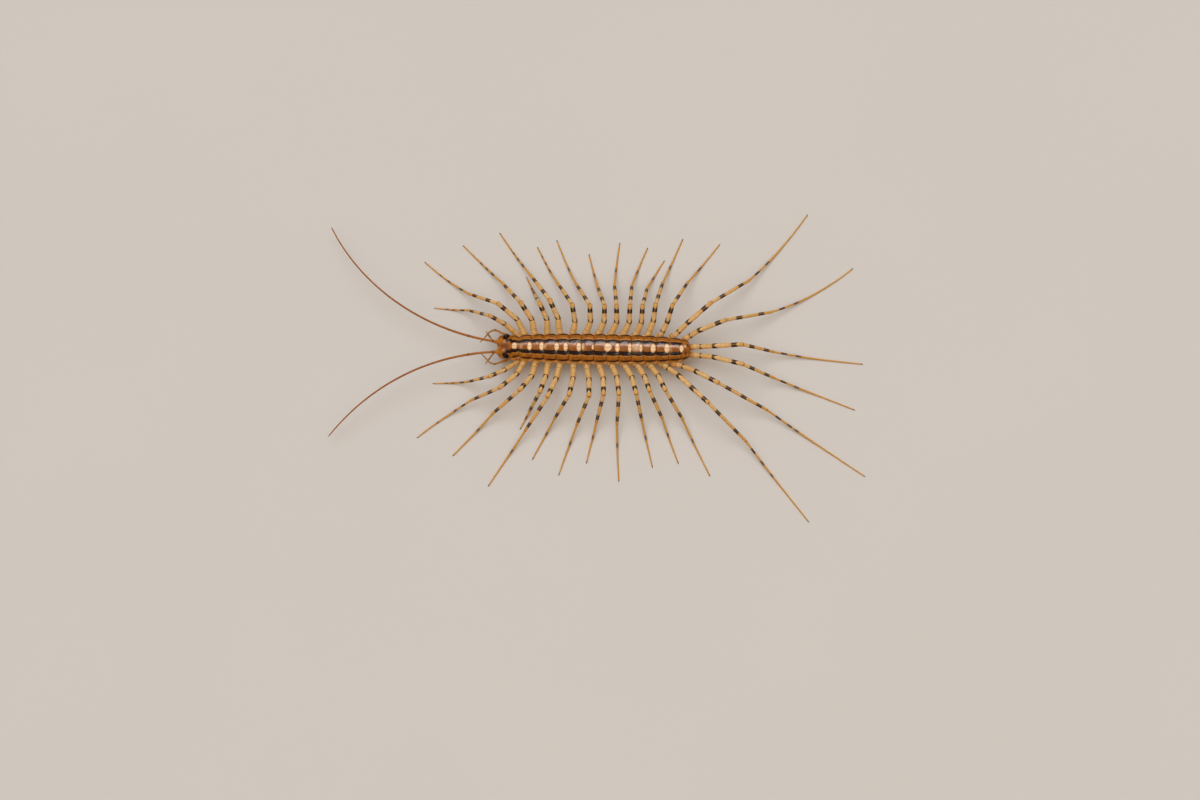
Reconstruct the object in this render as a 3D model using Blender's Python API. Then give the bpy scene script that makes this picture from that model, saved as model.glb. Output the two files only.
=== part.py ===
"""House centipede: a still, life-size model of the whole animal as it rests on a flat surface.

The head points along -Y and the animal's left side is +X. The floor is z = 0, and the origin lies
on it under the middle of the outline. Every leg ends in a small flat that lies on the floor.
"""

import math
from collections import namedtuple

import bmesh
import bpy
from mathutils import Matrix, Vector

MM = 0.001
GAP = 0.3 * MM
MERGE = 0.002 * MM
SHARP_ANGLE = math.radians(40)

# Trunk: equal plates in a row behind the head, and a rounded tail piece.
PLATE_COUNT = 13
PLATE_PITCH = 1.944 * MM
TRUNK_FRONT = -12.75 * MM
TRUNK_REAR = TRUNK_FRONT + PLATE_COUNT * PLATE_PITCH
TAIL_LENGTH = 1.55 * MM
CROWN_HEIGHT = 4.4 * MM
PLATE_RISE = 0.80 * MM
PLATE_RIM = 0.35 * MM
PLATE_ARCH_POWER = 2.3
PLATE_ARCH_SHARES = (0.0, 0.3, 0.58, 0.82, 1.0)
PLATE_LENGTH_SHARES = (0.0, 0.2, 0.5, 0.8, 1.0)
PLATE_SIDE_POWER = 4
PLATE_END_WIDTH = 0.94
PLATE_END_DROP = 0.12 * MM
RIM_UNDERCUT = 0.97
BELLY_HEIGHT = 1.4 * MM
FLESH_SHARE = 0.68
# Flank from the rim down to the belly: share of the flesh's half width, and of that height.
FLANK_PROFILE = ((1.0, 1.0), (1.06, 0.5), (0.8, 0.06), (0.35, 0.0))
# Half width of the plates at stations along the body, widest at mid body.
PLATE_STATIONS = (
    (-12.75 * MM, 1.80 * MM),
    (-10.50 * MM, 2.05 * MM),
    (-6.00 * MM, 2.24 * MM),
    (0.00 * MM, 2.29 * MM),
    (7.00 * MM, 2.19 * MM),
    (10.50 * MM, 1.98 * MM),
    (12.60 * MM, 1.76 * MM),
)
# Tail piece: share of its length, half width, crown height and belly height of each section.
TAIL_SECTIONS = (
    (0.00, 1.75 * MM, 4.22 * MM, 1.55 * MM),
    (0.35, 1.70 * MM, 4.16 * MM, 1.65 * MM),
    (0.65, 1.55 * MM, 4.04 * MM, 1.80 * MM),
    (0.88, 1.24 * MM, 3.88 * MM, 1.95 * MM),
    (1.00, 0.88 * MM, 3.72 * MM, 2.05 * MM),
)

# Hips: short bosses on the trunk that the legs grow from.
HIP_RADIUS = 0.42 * MM
HIP_DEPTH = 0.6 * MM
HIP_SIDES = 8
HIP_X = 1.90 * MM
HIP_HEIGHT = 2.3 * MM
HIP_ADVANCE = {"right": 0.38 * MM, "left": 0.15 * MM}
HIP_TURN_SHARE = 0.5
# The first plate carries two pairs of legs: distance out, distance back and height of each hip.
FRONT_HIPS = ((1.85 * MM, 0.22 * MM, 1.75 * MM), (1.95 * MM, 1.02 * MM, 2.35 * MM))
FRONT_THICKNESS = (0.88, 0.95)
TAIL_SIDE_HIP = (1.75 * MM, 13.15 * MM)
TAIL_END_HIP = (0.62 * MM, 14.20 * MM)

# Legs: heights of the joints above the floor and the thickness along each leg.
FIRST_JOINT_HEIGHT = 3.2 * MM
KNEE_HEIGHT = 4.8 * MM
ANKLE_RISE = 0.22
ANKLE_HEIGHTS = (0.8 * MM, 1.5 * MM)
TOUCHDOWN = 0.6
THIN_RADIUS = 0.25 * MM
LEG_SIDES = 8
FOOT_STEPS = 12
# Rings of a leg: its section (0 thigh base, 1 thigh, 2 shin, 3 foot), share of it, and radius.
LEG_RINGS = (
    (0, 0.00, 0.38 * MM),
    (0, 0.45, 0.44 * MM),
    (1, 0.00, 0.40 * MM),
    (1, 0.45, 0.42 * MM),
    (1, 0.84, 0.37 * MM),
    (2, 0.00, 0.45 * MM),
    (2, 0.14, 0.33 * MM),
    (2, 0.90, 0.27 * MM),
    (3, 0.00, 0.32 * MM),
    (3, 0.08, 0.26 * MM),
    (3, 0.32, 0.25 * MM),
    (3, TOUCHDOWN, 0.25 * MM),
    (3, 0.82, 0.24 * MM),
    (3, 1.00, 0.15 * MM),
)
# Pose of each leg in plan, front to rear. Each stretch is its reach in mm and its heading in
# degrees from straight sideways, positive towards the tail. The foot also turns by its bend.
LegPose = namedtuple("LegPose", "base thigh shin foot bend")
RIGHT_LEGS = (
    LegPose((3.0, -54), (2.5, -67), (3.9, -68), (5.5, -85), 0),
    LegPose((2.7, -28), (3.7, -54), (5.2, -66), (9.1, -54), 11),
    LegPose((2.5, -12), (3.0, -36), (4.9, -40), (8.9, -46), 0),
    LegPose((2.5, -2), (2.6, -27), (2.3, -23), (3.3, -26), 0),
    LegPose((2.7, -6), (3.0, -27), (5.6, -35), (8.7, -36), 3),
    LegPose((2.3, 10), (2.5, -11), (4.6, -31), (7.0, -29), 5),
    LegPose((2.5, 21), (2.3, -4), (4.4, -29), (8.2, -24), 6),
    LegPose((2.5, 25), (2.3, 1), (3.8, -17), (5.8, -15), 2),
    LegPose((2.5, 26), (2.4, -2), (3.9, -5), (7.2, 6), 5),
    LegPose((2.5, 26), (2.4, 2), (3.9, 4), (6.9, 21), 5),
    LegPose((2.5, 25), (2.4, 3), (3.6, 12), (5.5, 30), 4),
    LegPose((2.7, 21), (2.4, 7), (4.3, 16), (8.1, 23), 0),
    LegPose((2.6, 27), (2.7, 17), (4.9, 30), (8.4, 38), 0),
    LegPose((3.3, 46), (4.7, 50), (7.6, 55), (14.6, 40), -12),
    LegPose((2.5, 59), (4.4, 70), (7.7, 75), (15.2, 60), -20),
    LegPose((3.4, 89), (4.5, 89), (5.1, 96), (14.4, 96), -3),
)
LEFT_LEGS = (
    LegPose((2.8, -51), (2.7, -60), (3.6, -84), (5.6, -88), 0),
    LegPose((2.5, -26), (3.6, -46), (4.8, -71), (10.4, -55), 10),
    LegPose((2.7, -12), (3.1, -36), (5.4, -52), (9.0, -43), 0),
    LegPose((2.6, -7), (2.9, -17), (3.0, -34), (3.2, -27), 0),
    LegPose((3.0, -12), (3.4, -22), (6.0, -35), (10.4, -33), 2),
    LegPose((2.8, 1), (3.0, -11), (4.0, -34), (7.2, -28), 3),
    LegPose((3.0, 11), (2.9, 1), (4.5, -24), (8.3, -19), 3),
    LegPose((2.9, 17), (2.8, 2), (4.0, -15), (6.6, -13), 0),
    LegPose((2.7, 22), (3.0, 7), (4.2, -3), (9.0, 3), 3),
    LegPose((2.9, 29), (2.9, 14), (3.8, 15), (7.6, 14), 0),
    LegPose((2.7, 31), (2.7, 18), (4.3, 29), (7.6, 21), 0),
    LegPose((2.7, 36), (2.8, 24), (5.0, 35), (9.8, 27), 0),
    LegPose((3.4, 53), (6.5, 46), (8.3, 48), (15.9, 39), 0),
    LegPose((3.7, 68), (4.1, 60), (8.7, 65), (18.5, 57), 0),
    LegPose((3.4, 83), (4.8, 74), (5.3, 73), (13.8, 70), -2),
)

# Head: sections from front to rear as station, half width, top and underside height. A groove
# parts its capsule from the collar plate behind it.
HEAD_REAR = TRUNK_FRONT - GAP
HEAD_SECTIONS = (
    (-16.05 * MM, 1.00 * MM, 3.48 * MM, 2.70 * MM),
    (-15.90 * MM, 1.44 * MM, 3.68 * MM, 2.55 * MM),
    (-15.60 * MM, 1.73 * MM, 3.87 * MM, 2.40 * MM),
    (-15.10 * MM, 1.90 * MM, 4.02 * MM, 2.20 * MM),
    (-14.50 * MM, 1.93 * MM, 4.13 * MM, 2.00 * MM),
    (-14.10 * MM, 1.90 * MM, 4.16 * MM, 1.95 * MM),
    (-13.96 * MM, 1.74 * MM, 4.00 * MM, 1.98 * MM),
    (-13.82 * MM, 1.85 * MM, 4.20 * MM, 1.92 * MM),
    (-13.45 * MM, 1.90 * MM, 4.26 * MM, 1.90 * MM),
    (HEAD_REAR, 1.80 * MM, 4.16 * MM, 1.90 * MM),
)
HEAD_SIDES = 20
HEAD_SQUARENESS = 2.3
# Feelers: a bulb on the front of the head, then one long arc in plan that rises and falls.
SOCKET_RINGS = ((0.0, 0.46), (0.35, 0.46), (0.55, 0.41), (0.70, 0.30))
SOCKET_SIDES = 12
SOCKET_START = Vector((0.80, -15.52, 3.12)) * MM
SOCKET_FRONT = SOCKET_START.y - SOCKET_RINGS[-1][0] * MM
FEELER_RADII = ((0.0, 0.27), (0.05, 0.26), (0.14, 0.28), (0.18, 0.25), (0.6, 0.25), (1.0, 0.14))
FEELER_STEPS = 18
FEELER_CREST = 1.3 * MM
FEELER_TIP_HEIGHT = 2.0 * MM
FEELER_LENGTHS = {"right": 33.1 * MM, "left": 29.8 * MM}
FEELER_HEADINGS = {"right": (6.2, 62.0), "left": (4.0, 51.6)}

# Mouthparts as points along each piece with radii, for the left side, in mm.
OUTER_PALP = (
    ((1.98, -14.55, 2.15), 0.27),
    ((2.16, -15.05, 2.30), 0.27),
    ((2.36, -15.60, 2.50), 0.26),
    ((2.60, -16.15, 2.75), 0.26),
    ((2.68, -16.55, 2.85), 0.27),
    ((2.36, -17.30, 2.80), 0.25),
    ((1.88, -17.75, 2.65), 0.24),
    ((1.38, -18.20, 2.45), 0.20),
    ((0.75, -18.85, 2.20), 0.12),
)
INNER_PALP = (
    ((0.72, -16.42, 2.35), 0.25),
    ((1.15, -16.85, 2.15), 0.25),
    ((1.75, -17.30, 2.00), 0.22),
    ((2.20, -17.65, 1.95), 0.18),
    ((2.60, -17.92, 2.00), 0.12),
)
FANG = (
    ((1.00, -13.65, 1.45), 0.34),
    ((1.32, -14.40, 1.25), 0.36),
    ((1.20, -15.15, 1.25), 0.30),
    ((0.80, -15.70, 1.40), 0.22),
    ((0.38, -15.95, 1.55), 0.12),
)
MOUTHPARTS = {"palp_outer": OUTER_PALP, "palp_inner": INNER_PALP, "fang": FANG}
MOUTHPART_SIDES = 8
MOUTHPART_BOSS_DEPTH = 0.6 * MM
MOUTHPART_BOSS_SPREAD = 1.15

# Eyes: low oval domes on flat seats high on the sides of the head. A seat faces outwards and up,
# turned forwards by its yaw, and the oval lies slanted on it by its spin.
EYE_SEAT = Vector((1.41, -14.60, 3.60)) * MM
EYE_TURN = math.radians(52)
EYE_YAW = math.radians(18)
EYE_SPIN = math.radians(18)
EYE_SIZE = Vector((0.37, 0.52, 0.42)) * MM
EYE_SEAT_RADIUS = 0.62 * MM
EYE_SIDES = 16
EYE_RING_ANGLES = (0, 20, 42, 62, 78)

COLOURS = {
    "plate": ((0.30, 0.13, 0.03, 1), 0.30),
    "head": ((0.45, 0.18, 0.03, 1), 0.28),
    "eye": ((0.01, 0.01, 0.012, 1), 0.10),
    "feeler": ((0.38, 0.15, 0.04, 1), 0.40),
    "leg": ((0.72, 0.48, 0.20, 1), 0.35),
    "fang": ((0.40, 0.16, 0.04, 1), 0.25),
}

Ring = namedtuple("Ring", "centre along radius")


def finish(name):
    """A Principled material in the colour and roughness of one kind of surface."""
    if name in bpy.data.materials:
        return bpy.data.materials[name]
    material = bpy.data.materials.new(name)
    material.use_nodes = True
    shader = material.node_tree.nodes["Principled BSDF"]
    colour, roughness = COLOURS[name]
    shader.inputs["Base Color"].default_value = colour
    shader.inputs["Roughness"].default_value = roughness
    shader.inputs["Metallic"].default_value = 0.0
    return material


def add_object(name, bm):
    """Puts a bmesh into the scene as an object with its faces turned out."""
    bmesh.ops.recalc_face_normals(bm, faces=bm.faces)
    mesh = bpy.data.meshes.new(name)
    bm.to_mesh(mesh)
    bm.free()
    item = bpy.data.objects.new(name, mesh)
    bpy.context.scene.collection.objects.link(item)
    return item


def loft(loops):
    """A closed body through loops of points with a flat face on the first and the last loop."""
    bm = bmesh.new()
    rows = [[bm.verts.new(point) for point in loop] for loop in loops]
    count = len(rows[0])
    for near, far in zip(rows, rows[1:]):
        for i in range(count):
            j = (i + 1) % count
            bm.faces.new((near[i], near[j], far[j], far[i]))
    bm.faces.new(list(reversed(rows[0])))
    bm.faces.new(rows[-1])
    return bm


def ring_loop(ring, sides):
    """Points of a round section whose lowest side is flat and level across the limb."""
    across = ring.along.cross(Vector((0, 0, 1))).normalized()
    up = across.cross(ring.along).normalized()
    loop = []
    for i in range(sides):
        angle = 2 * math.pi * (i + 0.5) / sides - math.pi / 2
        offset = across * math.cos(angle) + up * math.sin(angle)
        loop.append(ring.centre + offset * ring.radius)
    return loop


def tube(rings, sides):
    return loft([ring_loop(ring, sides) for ring in rings])


def boss(end, along, radius, depth, sides):
    """A short round stub whose flat end stops at a point, sunk back by its depth."""
    along = along.normalized()
    return tube([Ring(end - along * depth, along, radius), Ring(end, along, radius)], sides)


def fused(name, body, extras, operation="UNION"):
    """One object from a body and the pieces that join or cut it, kept as its largest solid."""
    item = add_object(name, body)
    group = bpy.data.collections.new(name + "_extras")
    bpy.context.scene.collection.children.link(group)
    for number, extra in enumerate(extras):
        piece = add_object(f"{name}_extra_{number}", extra)
        bpy.context.scene.collection.objects.unlink(piece)
        group.objects.link(piece)
    join = item.modifiers.new("join", "BOOLEAN")
    join.operation = operation
    join.operand_type = "COLLECTION"
    join.collection = group
    join.solver = "EXACT"
    graph = bpy.context.evaluated_depsgraph_get()
    result = bpy.data.meshes.new_from_object(item.evaluated_get(graph))
    item.modifiers.clear()
    item.data = result
    for piece in list(group.objects):
        bpy.data.objects.remove(piece)
    bpy.data.collections.remove(group)
    keep_largest(result)
    return item


def islands(bm):
    """Lists of connected faces."""
    left = set(bm.faces)
    found = []
    while left:
        stack = [left.pop()]
        group = []
        while stack:
            face = stack.pop()
            group.append(face)
            for edge in face.edges:
                for other in edge.link_faces:
                    if other in left:
                        left.remove(other)
                        stack.append(other)
        found.append(group)
    return found


def keep_largest(mesh):
    """Drops every closed surface but the one with the most area, and tidies tiny edges."""
    bm = bmesh.new()
    bm.from_mesh(mesh)
    bmesh.ops.remove_doubles(bm, verts=bm.verts, dist=MERGE)
    bmesh.ops.dissolve_degenerate(bm, edges=bm.edges, dist=MERGE)
    groups = sorted(islands(bm), key=lambda group: sum(face.calc_area() for face in group))
    for group in groups[:-1]:
        bmesh.ops.delete(bm, geom=group, context="FACES")
    bm.to_mesh(mesh)
    bm.free()


def dress(item, kind, animal):
    """Gives a finished piece its material, smooth shading and its place under the animal."""
    item.data.materials.clear()
    item.data.materials.append(finish(kind))
    item.data.shade_smooth()
    item.data.set_sharp_from_angle(angle=SHARP_ANGLE)
    item.parent = animal
    return item


def between(stations, y):
    """Half width read from the stations, straight between them."""
    for (y0, w0), (y1, w1) in zip(stations, stations[1:]):
        if y <= y1:
            share = max(0.0, (y - y0) / (y1 - y0))
            return w0 + (w1 - w0) * share
    return stations[-1][1]


def trunk_loop(y, half_width, crown, belly):
    """Cross section of the trunk: an arched plate whose rims stand out over the softer flanks."""
    edge = crown - PLATE_RISE
    rim = edge - PLATE_RIM
    flesh = half_width * FLESH_SHARE
    half = []
    for share in PLATE_ARCH_SHARES:
        half.append((half_width * share, edge + PLATE_RISE * (1 - share**PLATE_ARCH_POWER)))
    half.append((half_width * RIM_UNDERCUT, rim))
    for width_share, height_share in FLANK_PROFILE:
        half.append((flesh * width_share, belly + (rim - belly) * height_share))
    other_half = [(-x, z) for x, z in reversed(half) if x > 0]
    return [Vector((x, y, z)) for x, z in half + other_half]


def heading(side, degrees):
    """Unit vector in plan, turned from straight sideways towards the tail."""
    angle = math.radians(degrees)
    return Vector((side * math.cos(angle), math.sin(angle), 0))


def leg_root(side_name, number):
    """Where a leg starts, and the trunk piece it grows from."""
    side = 1 if side_name == "left" else -1
    if number <= len(FRONT_HIPS):
        x, back, height = FRONT_HIPS[number - 1]
        return Vector((side * x, TRUNK_FRONT + back, height)), 1
    last = len(LEFT_LEGS) if side_name == "left" else len(RIGHT_LEGS)
    if number == last:
        x, y = TAIL_END_HIP
        return Vector((side * x, y, HIP_HEIGHT)), PLATE_COUNT + 1
    plate = number - 1
    if plate > PLATE_COUNT:
        x, y = TAIL_SIDE_HIP
        return Vector((side * x, y, HIP_HEIGHT)), PLATE_COUNT + 1
    y = TRUNK_FRONT + (plate - 0.5) * PLATE_PITCH - HIP_ADVANCE[side_name]
    return Vector((side * HIP_X, y, HIP_HEIGHT)), plate


def leg_joints(side_name, number, pose):
    """Root, first joint, knee and ankle of a leg."""
    side = 1 if side_name == "left" else -1
    root, _ = leg_root(side_name, number)
    points = [root]
    reach = pose.foot[0] * MM
    ankle = min(max(reach * ANKLE_RISE, ANKLE_HEIGHTS[0]), ANKLE_HEIGHTS[1])
    for (length, turn), z in zip(
        (pose.base, pose.thigh, pose.shin), (FIRST_JOINT_HEIGHT, KNEE_HEIGHT, ankle)
    ):
        point = points[-1] + heading(side, turn) * length * MM
        point.z = z
        points.append(point)
    return points


def hip_direction(side_name, number, pose):
    """Which way a hip faces: less turned than its leg on the flanks, in line with it at the tail."""
    root, knee_side, _, _ = leg_joints(side_name, number, pose)
    along = knee_side - root
    _, piece = leg_root(side_name, number)
    if piece <= PLATE_COUNT:
        side = 1 if side_name == "left" else -1
        level = math.hypot(along.x, along.y)
        along = heading(side, pose.base[1] * HIP_TURN_SHARE) * level + Vector((0, 0, along.z))
    return along.normalized()


def foot_point(side, ankle, pose, share, radius):
    """A point on the foot's middle line and its direction: down to the floor, then along it."""
    reach, middle = pose.foot[0] * MM, pose.foot[1]
    point = Vector((ankle.x, ankle.y, 0))
    for i in range(FOOT_STEPS):
        turn = middle + pose.bend * ((i + 0.5) / FOOT_STEPS * share - 0.5)
        point += heading(side, turn) * reach * share / FOOT_STEPS
    low = radius * math.cos(math.pi / LEG_SIDES)
    along = heading(side, middle + pose.bend * (share - 0.5))
    if share < TOUCHDOWN:
        left = 1 - share / TOUCHDOWN
        point.z = low + (ankle.z - low) * left**2
        along.z = -2 * (ankle.z - low) * left / (TOUCHDOWN * reach)
    else:
        point.z = low
    return point, along.normalized()


def leg_rings(side_name, number, pose):
    side = 1 if side_name == "left" else -1
    joints = leg_joints(side_name, number, pose)
    scale = FRONT_THICKNESS[number - 1] if number <= len(FRONT_THICKNESS) else 1.0
    rings = []
    for section, share, radius in LEG_RINGS:
        if section == 3:
            centre, along = foot_point(side, joints[3], pose, share, radius)
            if share == 0:
                along = (along + (joints[3] - joints[2]).normalized()).normalized()
        else:
            start, end = joints[section], joints[section + 1]
            centre = start.lerp(end, share)
            along = (end - start).normalized()
            if share == 0 and section == 0:
                along = hip_direction(side_name, number, pose)
            elif share == 0:
                along = (along + (start - joints[section - 1]).normalized()).normalized()
        rings.append(Ring(centre, along, max(radius * scale, min(radius, THIN_RADIUS))))
    return rings


def build_leg(side_name, number, pose, animal):
    body = tube(leg_rings(side_name, number, pose), LEG_SIDES)
    item = add_object(f"leg_{side_name}_{number:02d}", body)
    return dress(item, "leg", animal)


def hip_bosses(piece):
    """The stubs on one trunk piece that face the roots of its legs across the gap."""
    stubs = []
    for side_name, legs in (("right", RIGHT_LEGS), ("left", LEFT_LEGS)):
        for number, pose in enumerate(legs, 1):
            root, grows_from = leg_root(side_name, number)
            if grows_from == piece:
                along = hip_direction(side_name, number, pose)
                stubs.append(boss(root - along * GAP, along, HIP_RADIUS, HIP_DEPTH, HIP_SIDES))
    return stubs


def build_trunk_piece(piece, animal):
    front = TRUNK_FRONT + (piece - 1) * PLATE_PITCH
    length = PLATE_PITCH - GAP
    loops = []
    for share in PLATE_LENGTH_SHARES:
        y = front + length * share
        bulge = 1 - (2 * share - 1) ** PLATE_SIDE_POWER
        width = between(PLATE_STATIONS, y) * (PLATE_END_WIDTH + (1 - PLATE_END_WIDTH) * bulge)
        crown = CROWN_HEIGHT - PLATE_END_DROP * (1 - bulge)
        loops.append(trunk_loop(y, width, crown, BELLY_HEIGHT))
    item = fused(f"trunk_{piece:02d}", loft(loops), hip_bosses(piece))
    return dress(item, "plate", animal)


def build_tail(animal):
    loops = []
    for share, width, crown, belly in TAIL_SECTIONS:
        loops.append(trunk_loop(TRUNK_REAR + share * TAIL_LENGTH, width, crown, belly))
    item = fused("tail", loft(loops), hip_bosses(PLATE_COUNT + 1))
    return dress(item, "plate", animal)


def head_loop(y, half_width, top, under):
    """A rounded-square section of the head."""
    middle = (top + under) / 2
    loop = []
    for i in range(HEAD_SIDES):
        angle = 2 * math.pi * i / HEAD_SIDES
        power = 2 / HEAD_SQUARENESS
        x = math.copysign(abs(math.cos(angle)) ** power, math.cos(angle)) * half_width
        z = math.copysign(abs(math.sin(angle)) ** power, math.sin(angle)) * (top - under) / 2
        loop.append(Vector((x, y, middle + z)))
    return loop


def mirrored(point, side):
    return Vector((side * point.x, point.y, point.z))


def path_rings(points, side):
    """Rings through a list of points and radii, each square to the line through its neighbours."""
    centres = [mirrored(Vector(point) * MM, side) for point, _ in points]
    rings = []
    for i, (_, radius) in enumerate(points):
        ahead = centres[min(i + 1, len(centres) - 1)]
        behind = centres[max(i - 1, 0)]
        rings.append(Ring(centres[i], (ahead - behind).normalized(), radius * MM))
    return rings


def build_mouthpart(kind, side_name, animal):
    side = 1 if side_name == "left" else -1
    body = tube(path_rings(MOUTHPARTS[kind], side), MOUTHPART_SIDES)
    item = add_object(f"{kind}_{side_name}", body)
    return dress(item, "fang" if kind == "fang" else "feeler", animal)


def feeler_rings(side_name):
    """Rings of a feeler: its heading turns evenly outwards while it rises and then sinks."""
    side = 1 if side_name == "left" else -1
    first, last = FEELER_HEADINGS[side_name]
    length = FEELER_LENGTHS[side_name]
    point = Vector((side * SOCKET_START.x, SOCKET_FRONT - GAP, SOCKET_START.z))
    rings = []
    for i in range(FEELER_STEPS + 1):
        share = i / FEELER_STEPS
        turn = math.radians(first + (last - first) * share)
        along = Vector((side * math.sin(turn), -math.cos(turn), 0))
        drop = (SOCKET_START.z - FEELER_TIP_HEIGHT) * share
        point.z = SOCKET_START.z - drop + FEELER_CREST * math.sin(math.pi * share)
        climb = FEELER_CREST * math.pi * math.cos(math.pi * share) - drop
        along.z = climb / length
        rings.append(Ring(point.copy(), along.normalized(), between(FEELER_RADII, share) * MM))
        middle = math.radians(first + (last - first) * (share + 0.5 / FEELER_STEPS))
        point += Vector((side * math.sin(middle), -math.cos(middle), 0)) * length / FEELER_STEPS
    return rings


def build_feeler(side_name, animal):
    item = add_object(f"antenna_{side_name}", tube(feeler_rings(side_name), LEG_SIDES))
    return dress(item, "feeler", animal)


def eye_frame(side):
    """Place and turn of an eye's seat: its own Z points out of the head and its Y along it."""
    tilt = Matrix.Rotation(side * EYE_TURN, 4, "Y")
    yaw = Matrix.Rotation(-side * EYE_YAW, 4, "Z")
    spin = Matrix.Rotation(-side * EYE_SPIN, 4, "Z")
    return Matrix.Translation(mirrored(EYE_SEAT, side)) @ yaw @ tilt @ spin


def build_eye(side_name, animal):
    side = 1 if side_name == "left" else -1
    loops = []
    for rise in EYE_RING_ANGLES:
        high, wide = math.sin(math.radians(rise)), math.cos(math.radians(rise))
        turns = [2 * math.pi * i / EYE_SIDES for i in range(EYE_SIDES)]
        loops.append([Vector((math.cos(t) * wide, math.sin(t) * wide, high)) for t in turns])
    bm = loft(loops)
    size = Matrix.Diagonal((*EYE_SIZE, 1))
    place = eye_frame(side) @ Matrix.Translation((0, 0, GAP)) @ size
    bmesh.ops.transform(bm, matrix=place, verts=bm.verts)
    return dress(add_object(f"eye_{side_name}", bm), "eye", animal)


def eye_seat_cutter(side):
    """A short drum that flattens the head under an eye."""
    frame = eye_frame(side)
    out = (frame.to_3x3() @ Vector((0, 0, 1))).normalized()
    start = frame.translation
    reach = 2 * EYE_SEAT_RADIUS
    rings = [Ring(start, out, EYE_SEAT_RADIUS), Ring(start + out * reach, out, EYE_SEAT_RADIUS)]
    return tube(rings, EYE_SIDES)


def feeler_socket(side):
    """The round bulb on the front of the head that a feeler springs from."""
    forward = Vector((0, -1, 0))
    start = mirrored(SOCKET_START, side)
    rings = [Ring(start + forward * ahead * MM, forward, radius * MM) for ahead, radius in SOCKET_RINGS]
    return tube(rings, SOCKET_SIDES)


def mouthpart_boss(points, side):
    """The stub under the head that faces a mouthpart's root across the gap."""
    root = path_rings(points, side)[0]
    end = root.centre - root.along * GAP
    radius = root.radius * MOUTHPART_BOSS_SPREAD
    return boss(end, root.along, radius, MOUTHPART_BOSS_DEPTH, MOUTHPART_SIDES)


def build_head(animal):
    stubs = []
    for side in (1, -1):
        stubs.append(feeler_socket(side))
        for points in MOUTHPARTS.values():
            stubs.append(mouthpart_boss(points, side))
    item = fused("head", loft([head_loop(*section) for section in HEAD_SECTIONS]), stubs)
    solid = bmesh.new()
    solid.from_mesh(item.data)
    bpy.data.objects.remove(item)
    cutters = [eye_seat_cutter(side) for side in (1, -1)]
    item = fused("head", solid, cutters, "DIFFERENCE")
    return dress(item, "head", animal)


def centre_on_floor(animal):
    """Moves the animal in plan so that the middle of its outline stands at the origin."""
    bpy.context.view_layer.update()
    corners = []
    for item in animal.children:
        corners += [vertex.co for vertex in item.data.vertices]
    for axis in (0, 1):
        low = min(corner[axis] for corner in corners)
        high = max(corner[axis] for corner in corners)
        animal.location[axis] = -(low + high) / 2


def build_animal():
    for item in list(bpy.data.objects):
        bpy.data.objects.remove(item)
    animal = bpy.data.objects.new("centipede", None)
    bpy.context.scene.collection.objects.link(animal)
    build_head(animal)
    for side_name in ("left", "right"):
        build_eye(side_name, animal)
        build_feeler(side_name, animal)
        for kind in MOUTHPARTS:
            build_mouthpart(kind, side_name, animal)
    for piece in range(1, PLATE_COUNT + 1):
        build_trunk_piece(piece, animal)
    build_tail(animal)
    for side_name, legs in (("right", RIGHT_LEGS), ("left", LEFT_LEGS)):
        for number, pose in enumerate(legs, 1):
            build_leg(side_name, number, pose, animal)
    centre_on_floor(animal)


build_animal()
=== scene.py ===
"""House centipede: the looks of a still, life-size model, built round its fixed solids.

Sizes are in millimetres in the body's own frame: x = 0 is the middle line with the animal's left
at +x, the head points along -y, and z = 0 is the floor. finish_piece brings a mesh to metres.
"""

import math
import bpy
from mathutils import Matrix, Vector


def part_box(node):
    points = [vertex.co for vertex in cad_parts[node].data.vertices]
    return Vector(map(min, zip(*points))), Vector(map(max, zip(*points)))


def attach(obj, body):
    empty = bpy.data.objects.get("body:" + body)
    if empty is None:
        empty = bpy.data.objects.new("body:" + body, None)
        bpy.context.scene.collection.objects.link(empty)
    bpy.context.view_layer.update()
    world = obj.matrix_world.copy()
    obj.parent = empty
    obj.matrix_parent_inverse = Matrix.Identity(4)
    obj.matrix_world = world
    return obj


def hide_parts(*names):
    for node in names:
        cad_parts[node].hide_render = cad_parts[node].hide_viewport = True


bl_info = {
    "name": "House Centipede",
    "version": (1, 0, 0),
    "blender": (4, 5, 0),
    "location": "3D View > Sidebar > Centipede",
    "description": "Builds a still, life-size house centipede with striped plates and banded legs",
    "category": "Add Mesh",
}

from collections import namedtuple

import bmesh
import bpy
from bpy.props import FloatProperty, FloatVectorProperty, PointerProperty
from mathutils import Matrix, Vector, noise

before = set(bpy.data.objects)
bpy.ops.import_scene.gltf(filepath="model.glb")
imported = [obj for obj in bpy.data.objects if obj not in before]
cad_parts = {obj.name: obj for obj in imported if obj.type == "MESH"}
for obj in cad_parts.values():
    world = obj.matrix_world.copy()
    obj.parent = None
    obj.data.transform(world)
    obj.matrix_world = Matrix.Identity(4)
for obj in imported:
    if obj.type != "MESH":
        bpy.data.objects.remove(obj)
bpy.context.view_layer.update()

MM = 0.001
SIDES = {"left": 1, "right": -1}

# Trunk
PLATE_COUNT = 13
PLATE_PITCH = 1.944
TRUNK_FRONT = -12.75
TRUNK_REAR = TRUNK_FRONT + PLATE_COUNT * PLATE_PITCH
TAIL_END = 14.02
COLLAR_FRONT = -13.98
MIDDLE_PLATE = 7
TRUNK_NODES = [f"trunk_{number:02d}" for number in range(1, PLATE_COUNT + 1)]
CROWN_HEIGHT = 4.4
BELLY_HEIGHT = 1.42
# Skin: where it starts, its rings and sides, its width as a share of the plates', the height of
# its upper edge and the size of its folds.
SKIN_START = -13.9
SKIN_RINGS = 220
SKIN_SIDES = 72
FLANK_SHARE = 1.09
FLANK_HEIGHT = 3.30
FOLD_SIZE = 0.03
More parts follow.
